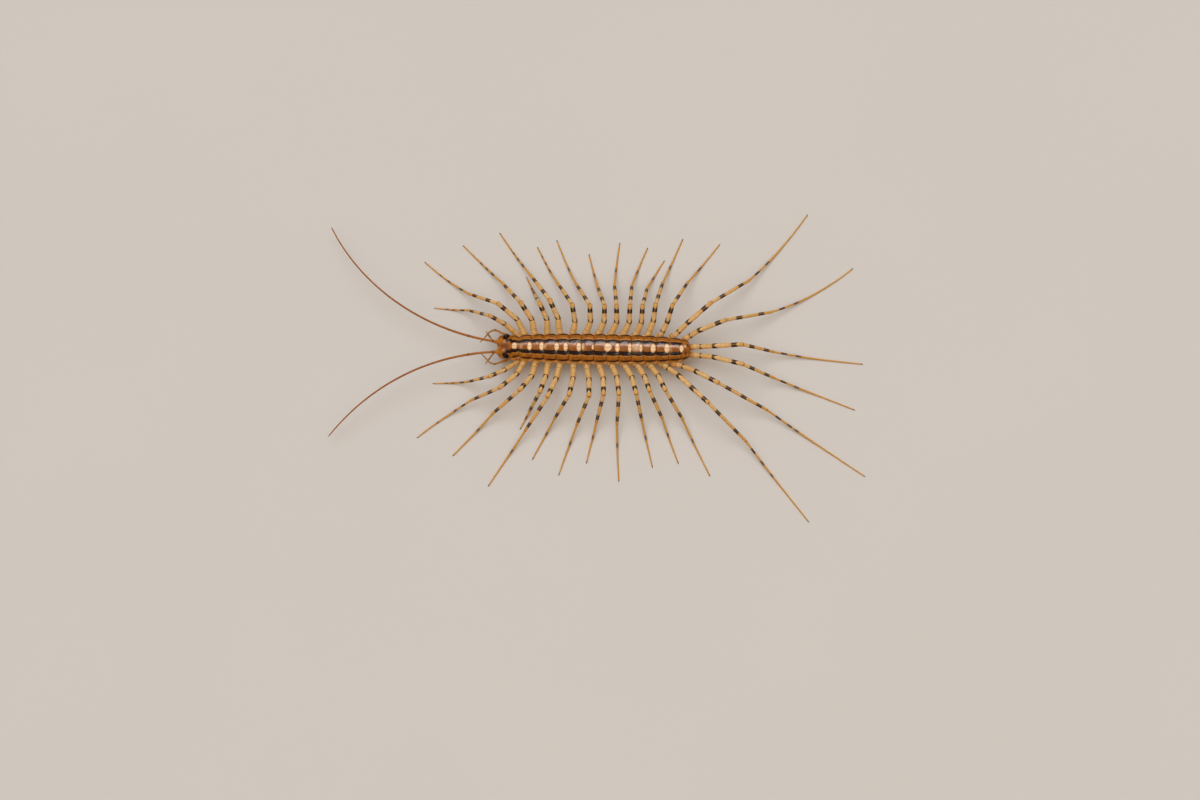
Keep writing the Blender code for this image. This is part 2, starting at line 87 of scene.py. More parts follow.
# Hips: distance along the leg from its root, radius, how dark the painted shade in the crease
# there is and how far the skin's orange has turned to the leg's tan.
HIP_RINGS = (
    (-0.40, 0.50, 0.8, 0.0),
    (-0.10, 0.60, 0.3, 0.1),
    (0.20, 0.655, 0.0, 0.1),
    (0.45, 0.650, 0.0, 0.3),
    (0.62, 0.615, 0.1, 0.5),
    (0.72, 0.580, 0.25, 0.6),
    (0.77, 0.535, 0.55, 0.7),
    (0.79, 0.460, 0.8, 0.7),
)
HIP_REACH = {"right": 0.80, "left": 1.0}
# How strong the painted highlight on the skin between the hips is on the left, as a share of the right.
LEFT_HIGHLIGHT_SHARE = 0.35
HIP_SIDES = 28
FRONT_HIP_SIZE = 0.80
TAIL_HIP_SIZE = 0.76
# Half width of the back at places along it.
PLATE_STATIONS = (
    (-13.90, 1.86),
    (-13.30, 1.82),
    (-12.75, 1.66),
    (-12.20, 1.90),
    (-10.50, 2.05),
    (-6.00, 2.24),
    (0.00, 2.29),
    (7.00, 2.19),
    (10.50, 1.98),
    (12.60, 1.78),
    (14.02, 1.40),
)
# Back plates: mesh, share lost in width towards each end, and drop of the middle and the sides.
PLATE_COLUMNS = 56
PLATE_ROWS = 22
PLATE_START = -0.04
FRONT_TAPER, FRONT_TAPER_POWER = 0.09, 2.6
REAR_TAPER, REAR_TAPER_POWER = 0.085, 6
CROWN_DROP = 0.10
SIDE_DROP, SIDE_DROP_POWER = 0.74, 2.3
EDGE_DROP, EDGE_DROP_POWER = 0.10, 9
PLATE_TILT = 0.09
PLATE_BOW = 0.03
# Low ridges along a plate: height, place across as a share of the half width, and width.
PLATE_RIDGES = ((0.05, 0.0, 0.27), (-0.035, 0.605, 0.022), (0.03, 0.965, 0.02))
PLATE_UNEVENNESS = 0.012
# Cream saddles on the back: middle along the body, length and width.
COLLAR_SADDLE = (-13.33, 0.86, 1.04)
SADDLES = (
    (-10.95, 0.76, 1.34),
    (-9.10, 0.72, 1.36),
    (-6.72, 0.78, 1.38),
    (-5.35, 0.70, 1.42),
    (-3.30, 0.76, 1.42),
    (-1.12, 0.36, 0.80),
    (1.27, 1.28, 1.46),
    (2.72, 0.76, 1.46),
    (4.62, 0.60, 1.46),
    (6.36, 0.52, 1.30),
    (8.27, 0.82, 1.46),
    (10.43, 0.88, 1.46),
    (12.69, 0.76, 1.26),
)
# Softer pale patches beside them: middle along the body, length, width and strength.
PALE_PATCHES = (
    (-12.35, 0.60, 0.80, 0.35),
    (-8.62, 0.30, 0.60, 0.75),
    (-2.66, 0.36, 0.80, 0.85),
    (5.60, 1.50, 1.10, 0.55),
    (10.98, 0.40, 1.30, 0.30),
)
# The last full plate has a diamond for a saddle, and its stripes start behind a bare front.
LAST_BARE_FRONT = 0.17
DIAMOND_TAPER = 0.55
# Tail plate: its pale spot, and where each of its two stripes ends as a share of its length.
TAIL_SPOT = Vector((-0.42, 13.25))
TAIL_STRIPE_ENDS = {"left": 0.52, "right": 0.76}
# Shields on the underside: half width, gaps before and between them, mesh and thickness.
SHIELD_HALF_WIDTH = 0.78
SHIELD_START = 0.12
SHIELD_GAP = 0.20
SHIELD_CELLS = 14
SHIELD_THICKNESS = 0.05

# Hips and legs, placed as the solids have them
HIP_X = 1.90
HIP_HEIGHT = 2.3
HIP_ADVANCE = {"right": 0.38, "left": 0.15}
HIP_TURN_SHARE = 0.5
FRONT_HIPS = ((1.85, 0.22, 1.75), (1.95, 1.02, 2.35))
FRONT_THICKNESS = (0.86, 0.94)
REAR_THICKNESS = 0.94
REAR_ROOT_THICKNESS = 0.88
# Swelling of the base stretch towards the first joint, as a share of its thickness.
BASE_SWELL = {"right": 0.0, "left": 0.12}
BASE_THICKNESS = {"right": 1.0, "left": 0.95}
TAIL_SIDE_HIP = (1.75, 13.15)
TAIL_END_HIP = (0.62, 14.20)
FIRST_JOINT_HEIGHT = 3.2
KNEE_HEIGHT = 4.8
ANKLE_RISE = 0.22
ANKLE_HEIGHTS = (0.8, 1.5)
TOUCHDOWN = 0.6
FOOT_STEPS = 24
# Dark bands of a leg, as shares along its thigh, its shin and its foot.
FRONT_BANDS = ((0.75,), (0.33, 0.80), (0.18, 0.45, 0.63))
SECOND_BANDS = ((0.75,), (0.33, 0.80), (0.15, 0.30, 0.62))
INNER_BANDS = ((0.73,), (0.31, 0.77), (0.25, 0.40, 0.54))
OUTER_BANDS = ((0.73,), (0.31, 0.77), (0.38, 0.58, 0.75))
MIDDLE_BANDS = ((0.73,), (0.33, 0.83), (0.38,))
REAR_BANDS = ((0.75,), (0.29, 0.77), (0.125, 0.29))
SHORT_BANDS = ((0.72,), (0.44,), (0.08, 0.32))
LONG_THIGH_BANDS = ((0.51, 0.90), (0.26, 0.74), (0.12, 0.27, 0.42))
LONG_SHIN_BANDS = ((0.76,), (0.21, 0.52, 0.84), (0.118, 0.235, 0.31))
# Pose of each leg in plan, front to rear: reach in mm and heading in degrees from straight
# sideways, positive towards the tail, of each stretch. The foot also turns by its bend.
LegPose = namedtuple("LegPose", "base thigh shin foot bend bands", defaults=(0, MIDDLE_BANDS))
RIGHT_LEGS = (
    LegPose((3.0, -54), (2.5, -67), (3.9, -68), (5.5, -85), 0, FRONT_BANDS),
    LegPose((2.7, -28), (3.7, -54), (5.2, -66), (9.1, -54), 11, FRONT_BANDS),
    LegPose((2.5, -12), (3.0, -36), (4.9, -40), (8.9, -46), 0, INNER_BANDS),
    LegPose((2.5, -2), (2.6, -27), (2.3, -23), (3.3, -26), 0, SHORT_BANDS),
    LegPose((2.7, -6), (3.0, -27), (5.6, -35), (8.7, -36), 3, INNER_BANDS),
    LegPose((2.3, 10), (2.5, -11), (4.6, -31), (7.0, -29), 5, OUTER_BANDS),
    LegPose((2.5, 21), (2.3, -4), (4.4, -29), (8.2, -24), 6),
    LegPose((2.5, 25), (2.3, 1), (3.8, -17), (5.8, -15), 2),
    LegPose((2.5, 26), (2.4, -2), (3.9, -5), (7.2, 6), 5),
    LegPose((2.5, 26), (2.4, 2), (3.9, 4), (6.9, 21), 5),
    LegPose((2.5, 25), (2.4, 3), (3.6, 12), (5.5, 30), 4),
    LegPose((2.7, 21), (2.4, 7), (4.3, 16), (8.1, 23)),
    LegPose((2.6, 27), (2.7, 17), (4.9, 30), (8.4, 38)),
    LegPose((3.3, 46), (4.7, 50), (7.6, 55), (14.6, 40), -12, REAR_BANDS),
    LegPose((2.5, 59), (4.4, 70), (7.7, 75), (15.2, 60), -20, REAR_BANDS),
    LegPose((3.4, 89), (4.5, 89), (5.1, 96), (14.4, 96), -3, REAR_BANDS),
)
LEFT_LEGS = (
    LegPose((2.8, -51), (2.7, -60), (3.6, -84), (5.6, -88), 0, FRONT_BANDS),
    LegPose((2.5, -26), (3.6, -46), (4.8, -71), (10.4, -55), 10, SECOND_BANDS),
    LegPose((2.7, -12), (3.1, -36), (5.4, -52), (9.0, -43)),
    LegPose((2.6, -7), (2.9, -17), (3.0, -34), (3.2, -27)),
    LegPose((3.0, -12), (3.4, -22), (6.0, -35), (10.4, -33), 2),
    LegPose((2.8, 1), (3.0, -11), (4.0, -34), (7.2, -28), 3),
    LegPose((3.0, 11), (2.9, 1), (4.5, -24), (8.3, -19), 3),
    LegPose((2.9, 17), (2.8, 2), (4.0, -15), (6.6, -13)),
    LegPose((2.7, 22), (3.0, 7), (4.2, -3), (9.0, 3), 3),
    LegPose((2.9, 29), (2.9, 14), (3.8, 15), (7.6, 14)),
    LegPose((2.7, 31), (2.7, 18), (4.3, 29), (7.6, 21)),
    LegPose((2.7, 36), (2.8, 24), (5.0, 35), (9.8, 27)),
    LegPose((3.4, 53), (6.5, 46), (8.3, 48), (15.9, 39), 0, LONG_THIGH_BANDS),
    LegPose((3.7, 68), (4.1, 60), (8.7, 65), (18.5, 57), 0, LONG_SHIN_BANDS),
    LegPose((3.4, 83), (4.8, 74), (5.3, 73), (13.8, 70), -2, REAR_BANDS),
)
LEGS = {"right": RIGHT_LEGS, "left": LEFT_LEGS}
EVERY_LEG = [(side_name, number) for side_name in SIDES for number in range(1, len(LEGS[side_name]) + 1)]
FIRST_REAR_LEG = 13
# Thickness of a leg: stretch (0 base, 1 thigh, 2 shin, 3 foot), share of it, distance past that
# share and radius. Each joint has a flared cuff, a thin neck and the next stretch's shoulder.
LEG_PROFILE = (
    (0, 0.00, -0.30, 0.46),
    (0, 0.00, 0.00, 0.50),
    (0, 0.30, 0.00, 0.505),
    (0, 0.47, -0.06, 0.490),
    (0, 0.47, 0.00, 0.455),
    (0, 0.47, 0.07, 0.480),
    (0, 0.80, 0.00, 0.455),
    (0, 1.00, -0.16, 0.445),
    (0, 1.00, -0.05, 0.430),
    (1, 0.00, 0.02, 0.372),
    (1, 0.00, 0.12, 0.405),
    (1, 0.00, 0.40, 0.412),
    (1, 0.50, 0.00, 0.388),
    (1, 1.00, -0.75, 0.355),
    (1, 1.00, -0.40, 0.345),
    (1, 1.00, -0.30, 0.358),
    (1, 1.00, -0.10, 0.378),
    (1, 1.00, 0.02, 0.345),
    (2, 0.00, 0.11, 0.300),
    (2, 0.00, 0.18, 0.268),
    (2, 0.00, 0.45, 0.284),
    (2, 0.30, 0.00, 0.292),
    (2, 0.60, 0.00, 0.275),
    (2, 0.90, 0.00, 0.238),
    (2, 1.00, -0.16, 0.234),
    (2, 1.00, -0.03, 0.252),
    (3, 0.00, 0.05, 0.220),
    (3, 0.00, 0.12, 0.172),
    (3, 0.33, 0.00, 0.150),
    (3, 0.66, 0.00, 0.118),
    (3, 1.00, -0.34, 0.094),
    (3, 1.00, -0.22, 0.078),
    (3, 1.00, 0.00, 0.030),
)
LEG_SIDES = 16
LEG_RING_STEP = 0.14
# Reach over which the middle line's corners are rounded and its direction is read.
CORNER_REACH = 0.10
HEADING_REACH = 0.16
LEG_RIDGE = 1.05
UPPER_FLATNESS = 0.97
FLOOR_GAP = 0.002
# Small joints of the foot: length, how much they swell, the foot's ends without any, and the
# rings of each as a share of its length and of the swelling.
FOOT_ARTICLE = 0.30
FOOT_ARTICLE_SWELL = 0.07
FOOT_ARTICLE_ENDS = (0.2, -0.36)
FOOT_ARTICLE_RINGS = ((0.0, -0.9), (0.16, 0.1), (0.80, 1.0))
FOOT_START_RADIUS = 0.172
# Half length of a dark band and how far a pale wedge cuts into it on top.
BandShape = namedtuple("BandShape", "half wedge")
BAND_SHAPES = (BandShape(0.42, 0.32), BandShape(0.48, 0.12), BandShape(0.36, 0.04))
REAR_BAND_SHAPES = (BandShape(0.52, 0.36), BandShape(0.56, 0.20), BandShape(0.50, 0.04))
JOINT_MARK = BandShape(0.31, 0.54)
REAR_JOINT_MARK = BandShape(0.42, 0.42)
ROOT_MARK = BandShape(0.17, 0.22)
WEDGE_SHARE = {"right": 0.55, "left": 0.90}
WEDGE_SIDES = (0.36, 0.86)
# Joint in the base stretch, as a share of it.
BASE_JOINT = 0.47
# Orange knobs and thin dark cuffs: stretch, share of it, distance past it and half length.
LEG_RINGS = {
    "knob": ((1, 1.0, -0.06, 0.20), (2, 1.0, -0.02, 0.10)),
    "cuff": (
        (0, 1.0, -0.01, 0.055),
        (1, 1.0, 0.10, 0.065),
        (2, 1.0, 0.05, 0.06),
        (0, BASE_JOINT, 0.0, 0.03),
    ),
}
# Spurs at the end of a stretch: the stretch, how far out they stand and their relative length.
SPUR_JOINTS = ((0, 0.46, 0.7), (1, 0.40, 0.85), (2, 0.24, 0.8))
SPUR_ANGLES = (20, 160, 215, 325)
SPUR_RADIUS = 0.04
SPUR_RINGS = ((0.0, 1.0), (0.55, 0.62), (0.9, 0.22), (1.0, 0.05))
SPUR_SIDES = 6
CLAW_PLACE = (-0.36, -0.20)

# Head: place along the body, half width, and height of the top and of the underside.
HEAD_SECTIONS = (
    (-16.07, 0.55, 3.34, 2.84),
    (-16.03, 1.00, 3.48, 2.70),
    (-15.90, 1.44, 3.68, 2.55),
    (-15.60, 1.73, 3.87, 2.40),
    (-15.10, 1.90, 4.02, 2.20),
    (-14.50, 1.94, 4.13, 2.00),
    (-14.10, 1.90, 4.14, 1.95),
    (-13.95, 1.81, 4.07, 1.97),
    (-13.60, 1.70, 4.01, 1.95),
    (-13.10, 1.60, 3.95, 1.95),
)
HEAD_SQUARENESS = 2.3
HEAD_RINGS = 64
HEAD_RING_POWER = 1.25
HEAD_SIDES = 96
# Swellings on each side of the head: height, place and width across, place and width along.
HEAD_LOBE = (0.10, 0.80, 0.34, -15.92, 0.34)
HEAD_BOSS = (0.06, 0.66, 0.21, -15.00, 0.26)
HEAD_NOTCH = 0.16
HEAD_GROOVE = 0.05
EYE_RIM = 0.05
# Half width of the stripe on each side of the head, its middle and its front end.
HEAD_STRIPE = (0.24, 0.90, -14.66)
# Feeler sockets: how far ahead of their start each ring lies, and its radius.
SOCKET_RINGS = ((0.0, 0.44), (0.34, 0.45), (0.50, 0.43), (0.60, 0.37), (0.66, 0.31), (0.68, 0.22))
SOCKET_SIDES = 32
SOCKET_START = Vector((0.80, -15.52, 3.12))
SOCKET_FRONT = -16.22
# Feelers: how far the root is sunk in its socket, spacing of the rings, depth of each furrow,
# length without furrows, radius at distances from the root, and the joints' places.
FEELER_ROOT = 0.12
FEELER_START = -16.52
FEELER_STEP = 0.085
FEELER_SIDES = 12
FEELER_FURROW = 0.90
FEELER_SMOOTH = 0.7
FEELER_RADII = (
    (0.0, 0.235),
    (0.55, 0.215),
    (0.62, 0.24),
    (0.70, 0.20),
    (2.2, 0.195),
    (4.35, 0.205),
    (4.50, 0.235),
    (4.62, 0.20),
    (10.0, 0.17),
    (20.0, 0.14),
)
FEELER_END_RADII = (0.095, 0.025)
FEELER_TIP = 0.3
FEELER_KNOTS = ((0.62, 0.10), (4.50, 0.08))
FEELER_CREST = 1.3
FEELER_TIP_HEIGHT = 2.0
FEELER_LENGTHS = {"right": 33.1, "left": 29.8}
FEELER_HEADINGS = {"right": (6.2, 62.0), "left": (4.0, 51.6)}
EYE_SEAT = Vector((1.33, -14.60, 3.64))
EYE_TURN = math.radians(52)
EYE_YAW = math.radians(18)
EYE_SPIN = math.radians(18)
EYE_SIZE = Vector((0.40, 0.57, 0.42))
EYE_LIFT = 0.23
# Where the eye's ball is cut off and how its facets are set in.
EYE_CUT = -0.35
FACET_LIMIT = -0.30
FACET_INSET = {"thickness": 0.016, "depth": 0.007}


def body_shift():
    """Where the body's own frame lies among the solids, read from its eyes and middle plate."""
    left_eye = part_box("eye_left")[1].x
    right_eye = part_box("eye_right")[0].x
    plate_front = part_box(f"trunk_{MIDDLE_PLATE:02d}")[0].y
    start = (TRUNK_FRONT + (MIDDLE_PLATE - 1) * PLATE_PITCH) * MM
    return Vector(((left_eye + right_eye) / 2, plate_front - start, 0))


BODY_SHIFT = body_shift()


def length_property(name, description, value, low, high):
    """A length, given in millimetres."""
    limits = {"default": value * MM, "min": low * MM, "max": high * MM}
    return FloatProperty(name=name, description=description, unit="LENGTH", **limits)


def light_property(name, description, value, unit="NONE"):
    """How much light a source gives."""
    return FloatProperty(name=name, description=description, default=value, min=0.0, unit=unit)


def colour_property(name, description, value):
    limits = {"default": value, "min": 0, "max": 1}
    return FloatVectorProperty(name=name, description=description, size=3, subtype="COLOR", **limits)


class CentipedeSizes(bpy.types.PropertyGroup):
    """Sizes that can be changed without leaving the solids."""

    plate_thickness: length_property(
        "Plate thickness", "Thickness of the back plates", 0.09, 0.02, 0.2
    )
    plate_overlap: length_property(
        "Plate overlap", "How far each back plate reaches over the next", 0.16, 0.0, 0.3
    )
    saddle_height: length_property(
        "Saddle height", "How far the cream saddles stand up from their plates", 0.055, 0.0, 0.15
    )
    leg_thickness: FloatProperty(
        name="Leg thickness",
        description="Thickness of the legs as a share of the real one",
        default=1.0,
        min=0.8,
        max=1.1,
        subtype="FACTOR",
    )
    spur_length: length_property(
        "Spur length", "Length of the spurs at the leg joints", 0.34, 0.1, 0.6
    )


class CentipedeColours(bpy.types.PropertyGroup):
    """Colours of the animal's surfaces."""

    flank: colour_property("Plate flank", "Orange-brown sides of the back plates", (0.335, 0.102, 0.005))
    stripe: colour_property("Dark stripe", "The two dark stripes along the back", (0.012, 0.005, 0.003))
    middle: colour_property("Plate middle", "Rust between the dark stripes", (0.27, 0.078, 0.008))
    cream: colour_property("Cream", "Saddles along the middle of the back", (0.92, 0.64, 0.37))
    rim: colour_property("Rim", "Thin dark lines at the plates' edges", (0.035, 0.009, 0.003))
    skin: colour_property("Skin", "Soft skin of the flanks and hips", (0.56, 0.235, 0.034))
    belly: colour_property("Belly", "Paler skin of the underside", (0.66, 0.40, 0.14))
    head: colour_property("Head", "Glossy head capsule", (0.37, 0.110, 0.004))
    leg: colour_property("Leg", "Tan colour of the legs", (0.70, 0.425, 0.170))
    band: colour_property("Band", "Dark bands of the legs", (0.015, 0.005, 0.003))
    knob: colour_property("Knee", "Orange knobs at the knees", (0.70, 0.310, 0.036))
    foot: colour_property("Foot", "Golden feet", (0.60, 0.290, 0.045))
    feeler: colour_property("Antenna", "Rusty antennae", (0.38, 0.115, 0.005))
    palp: colour_property("Palp", "Thin palps beside the mouth", (0.36, 0.17, 0.035))
    claw: colour_property("Claw", "Dark tips of claws and fangs", (0.06, 0.018, 0.008))


class CentipedeStage(bpy.types.PropertyGroup):
    """The floor, the light and the camera."""

    floor_colour: colour_property("Floor", "Plain pale floor", (0.62, 0.575, 0.535))
    key_strength: light_property(
        "Key light", "Strength of the broad soft light on the animal's right", 1.42
    )
    fill_strength: light_property(
        "Warm fill", "Strength of the warm light that fills the shadows", 1.38
    )
    sheen_power: light_property(
        "Sheen light", "Power of the small soft light that shines in the plates", 1.0, "POWER"
    )
    sky_strength: light_property("Sky", "Strength of the even light from all round", 0.30)
    camera_distance: FloatProperty(
        name="Camera distance",
        description="Distance from the camera to the animal's back",
        default=0.30,
        min=0.1,
        unit="LENGTH",
    )


def frame_at(centre, along, across_radius, up_radius):
    """A ring's matrix: its own Z runs along the limb and its Y is as upright as can be."""
    along = along.normalized()
    across = along.cross(Vector((0, 0, 1))).normalized()
    up = across.cross(along).normalized()
    matrix = Matrix((across * across_radius, up * up_radius, along)).transposed().to_4x4()
    matrix.translation = centre
    return matrix


def sweep(bm, frames, sides, shape=None):
    """Extrudes a disc from ring to ring and returns the vertices of each ring."""
    start = bmesh.ops.create_circle(bm, cap_ends=True, segments=sides, radius=1.0)
    ring = start["verts"]
    face = ring[0].link_faces[0]
    if shape:
        for vert in ring:
            vert.co = shape(vert.co)
    bmesh.ops.transform(bm, matrix=frames[0], verts=ring)
    rings = [ring]
    for before, after in zip(frames, frames[1:]):
        grown = bmesh.ops.extrude_face_region(bm, geom=[face])["geom"]
        if len(rings) > 1:
            bmesh.ops.delete(bm, geom=[face], context="FACES_ONLY")
        ring = [item for item in grown if isinstance(item, bmesh.types.BMVert)]
        face = next(item for item in grown if isinstance(item, bmesh.types.BMFace))
        bmesh.ops.transform(bm, matrix=after @ before.inverted(), verts=ring)
        rings.append(ring)
    return rings


def rounded_square(power):
    """A function that moves points of a unit circle out towards a square."""

    def shape(point):
        x = math.copysign(abs(point.x) ** (2 / power), point.x)
        y = math.copysign(abs(point.y) ** (2 / power), point.y)
        return Vector((x, y, 0))

    return shape


def spine(bm, base, tip, radius):
    """A thin straight spine with its root at one point and its tip at another."""
    along = tip - base
    frames = []
    for share, thick in SPUR_RINGS:
        frames.append(frame_at(base + along * share, along, radius * thick, radius * thick))
    return [vert for ring in sweep(bm, frames, SPUR_SIDES) for vert in ring]


def table_value(table, place):
    """Value at a place in a table of (place, value, ...) rows, straight between rows."""
    if place <= table[0][0]:
        return table[0][1:]
    for near, far in zip(table, table[1:]):
        if place <= far[0]:
            share = (place - near[0]) / (far[0] - near[0])
            return tuple(a + (b - a) * share for a, b in zip(near[1:], far[1:]))
    return table[-1][1:]


def smooth_step(low, high, value):
    share = min(max((value - low) / (high - low), 0.0), 1.0)
    return share * share * (3 - 2 * share)


def hump(distance, width):
    return math.exp(-((distance / width) ** 2))


def level_ring(y, low, high, half_wide):
    """A ring's matrix across the body between two heights."""
    return frame_at(Vector((0, y, (high + low) / 2)), Vector((0, 1, 0)), half_wide, (high - low) / 2)


def float_layers(bm, *names):
    """Values kept on each vertex under these names, for the materials to read."""
    return {name: bm.verts.layers.float.new(name) for name in names}


def write(vert, layers, **values):
    for name, value in values.items():
        vert[layers[name]] = value


def finish_piece(name, bm, finish, slot, *nodes, sharp=40):
    """Makes a mesh in millimetres into a piece that rides on the body and stands for its nodes."""
    bmesh.ops.recalc_face_normals(bm, faces=bm.faces)
    bmesh.ops.scale(bm, vec=(MM, MM, MM), verts=bm.verts)
    bmesh.ops.translate(bm, vec=BODY_SHIFT, verts=bm.verts)
    mesh = bpy.data.meshes.new(name)
    bm.to_mesh(mesh)
    bm.free()
    mesh.materials.append(finish_named(finish))
    mesh.shade_smooth()
    mesh.set_sharp_from_angle(angle=math.radians(sharp))
    piece = bpy.data.objects.new(name, mesh)
    bpy.context.scene.collection.objects.link(piece)
    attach(piece, "root")
    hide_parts(*nodes)


class Graph:
    """Adds and joins the nodes of one material or node group."""

    def __init__(self, tree):
        self.tree = tree

    def feed(self, socket, value):
        if isinstance(value, bpy.types.NodeSocket):
            self.tree.links.new(value, socket)
        elif value is not None:
            if socket.type == "RGBA" and len(value) == 3:
                value = (*value, 1)
            socket.default_value = value

    def node(self, kind, inputs=None, **settings):
        made = self.tree.nodes.new(kind)
        for key, value in settings.items():
            setattr(made, key, value)
        for key, value in (inputs or {}).items():
            self.feed(made.inputs[key], value)
        return made

    def math(self, operation, first, second=None):
        made = self.node("ShaderNodeMath", {0: first, 1: second}, operation=operation)
        return made.outputs[0]

    def plus(self, first, second):
        return self.math("ADD", first, second)

    def times(self, first, second):
        return self.math("MULTIPLY", first, second)

    def inverse(self, value):
        """What a share leaves of the whole."""
        return self.math("SUBTRACT", 1.0, value)

    def step(self, low, high, value):
        """0 below the low mark, 1 above the high one and smooth between."""
        made = self.node(
            "ShaderNodeMapRange",
            {"Value": value, "From Min": low, "From Max": high},
            interpolation_type="SMOOTHSTEP",
        )
        return made.outputs[0]

    def between(self, low, high, value, soft):
        """1 between two marks with soft edges."""
        rise = self.step(low - soft, low + soft, value)
        fall = self.step(high - soft, high + soft, value)
        return self.math("SUBTRACT", rise, fall)

    def blend(self, amount, first, second):
        made = self.node("ShaderNodeMix", {0: amount, 6: first, 7: second}, data_type="RGBA")
        return made.outputs[2]

    def tint(self, mask, strength, colour, tone):
        """The colour turned towards one of the named tones where the mask is, up to a strength."""
        return self.blend(self.times(mask, strength), colour, TONES[tone])

    def spot(self, name):
        return self.node("ShaderNodeAttribute", attribute_name=name).outputs["Fac"]

    def group(self, name, **inputs):
        made = self.node("ShaderNodeGroup", node_tree=bpy.data.node_groups[name])
        for key, value in inputs.items():
            self.feed(made.inputs[key.capitalize()], value)
        return made.outputs

    def noise(self, vector, scale, detail, roughness=0.5):
        made = self.node(
            "ShaderNodeTexNoise",
            {"Vector": vector, "Scale": scale, "Detail": detail, "Roughness": roughness},
        )
        return made.outputs["Fac"]


def new_group(name, inputs, outputs):
    """An empty node group with float inputs and named outputs."""
    tree = bpy.data.node_groups.new(name, "ShaderNodeTree")
    for label, default in inputs:
        socket = tree.interface.new_socket(label, in_out="INPUT", socket_type="NodeSocketFloat")
        socket.default_value = default
    for label in outputs:
        tree.interface.new_socket(label, in_out="OUTPUT", socket_type="NodeSocketFloat")
    graph = Graph(tree)
    return graph, graph.node("NodeGroupInput"), graph.node("NodeGroupOutput")


# Tones that shade or brighten the animal's main colours here and there.
TONES = {
    "plate_front": (0.40, 0.12, 0.010),
    "stripe_edge": (0.62, 0.30, 0.07),
    "saddle_seam": (0.36, 0.15, 0.04),
    # Painted shade for the skin's creases, also the darker mottle along its folds.
    "skin_crease": (0.16, 0.055, 0.012),
    "head_core": (0.19, 0.045, 0.004),
    "head_lobe": (0.50, 0.185, 0.012),
    # Painted highlight on the head's bosses.
    "head_boss": (0.62, 0.33, 0.17),
    "head_groove": (0.12, 0.026, 0.006),
    "leg_gold": (0.56, 0.28, 0.055),
    "leg_cuff": (0.15, 0.050, 0.010),
    "band_halo": (0.25, 0.075, 0.015),
    "feeler_ring": (0.12, 0.035, 0.008),
    "feeler_knot": (0.075, 0.020, 0.008),
    "palp_root": (0.46, 0.19, 0.022),
    "palp_knot": (0.07, 0.022, 0.008),
    "eye": (0.005, 0.003, 0.003),
    "eye_groove": (0.02, 0.008, 0.005),
}
SADDLE_EDGE = (0.82, 0.62, 0.48)
FEELER_ROOT_GAIN = 1.25
HIP_TAN_SHARE = 0.92
# Settings that every shell shares.
SHELL = {
    "Coat Roughness": 0.12,
    "IOR": 1.48,
    "Specular IOR Level": 0.3,
    "Subsurface Radius": (1.0, 0.45, 0.15),
    "Subsurface Scale": 0.35 * MM,
}
GRAIN_GLOSS = 0.22
RELIEF_DEPTH = 0.02 * MM


def build_cuticle_group():
    """Shell surface: broad mottling, a fine grain, and a height of pits and faint wrinkles."""
    graph, given, result = new_group("cuticle", (("Size", 1.0),), ("Mottle", "Grain", "Height"))
    place = graph.node("ShaderNodeTexCoord").outputs["Object"]
    millimetres = graph.node(
        "ShaderNodeVectorMath", {0: place, 1: (1 / MM, 1 / MM, 1 / MM)}, operation="MULTIPLY"
    ).outputs[0]
    scaled = graph.node(
        "ShaderNodeVectorMath", {0: millimetres, "Scale": given.outputs["Size"]}, operation="SCALE"
    ).outputs[0]
    mottle = graph.noise(scaled, 1.6, 3.0, 0.55)
    grain = graph.noise(scaled, 16.0, 3.0, 0.6)
    pits = graph.node("ShaderNodeTexVoronoi", {"Vector": scaled, "Scale": 11.0}).outputs["Distance"]
    dimples = graph.step(0.0, 0.35, pits)
    height = graph.plus(graph.times(dimples, 0.5), graph.times(grain, 0.5))
    for label, value in (("Mottle", mottle), ("Grain", grain), ("Height", height)):
        graph.feed(result.inputs[label], value)


def build_edge_group():
    """A mask from a distance inside a mark in millimetres, with a slightly ragged edge."""
    inputs = (("Inside", 0.0), ("Soft", 0.04), ("Ragged", 0.1))
    graph, given, result = new_group("ragged_edge", inputs, ("Mask",))
    cuticle = graph.group("cuticle", size=1.4)
    push = graph.times(graph.math("SUBTRACT", cuticle["Grain"], 0.5), given.outputs["Ragged"])
    inside = graph.plus(given.outputs["Inside"], push)
    share = graph.math("DIVIDE", inside, given.outputs["Soft"])
    graph.feed(result.inputs["Mask"], graph.step(-1.0, 1.0, share))


def shell_material(name, paint, roughness, coat, bump, subsurface, size):
    """A glossy shell. Its paint returns its colour and the roughness to add, if any."""
    material = bpy.data.materials.new(name)
    material.use_nodes = True
    graph = Graph(material.node_tree)
    shader = material.node_tree.nodes["Principled BSDF"]
    cuticle = graph.group("cuticle", size=size)
    colour, rough = paint(graph, cuticle["Mottle"], bpy.context.scene.centipede_colours)
    shade = graph.plus(graph.times(cuticle["Grain"], GRAIN_GLOSS), roughness - GRAIN_GLOSS / 2)
    if rough is not None:
        shade = graph.plus(shade, rough)
    graph.feed(shader.inputs["Base Color"], colour)
    graph.feed(shader.inputs["Roughness"], shade)
    constants = {"Coat Weight": coat, "Subsurface Weight": subsurface, **SHELL}
    for label, value in constants.items():
        shader.inputs[label].default_value = value
    given = {"Strength": bump, "Distance": RELIEF_DEPTH, "Height": cuticle["Height"]}
    relief = graph.node("ShaderNodeBump", given)
    graph.feed(shader.inputs["Normal"], relief.outputs["Normal"])


def vary(graph, colour, amount, strength):
    """A colour made darker and lighter by a mask that changes over the surface."""
    low = tuple(c * (1 - strength) for c in colour)
    high = tuple(min(1.0, c * (1 + strength)) for c in colour)
    return graph.blend(graph.step(0.3, 0.7, amount), low, high)


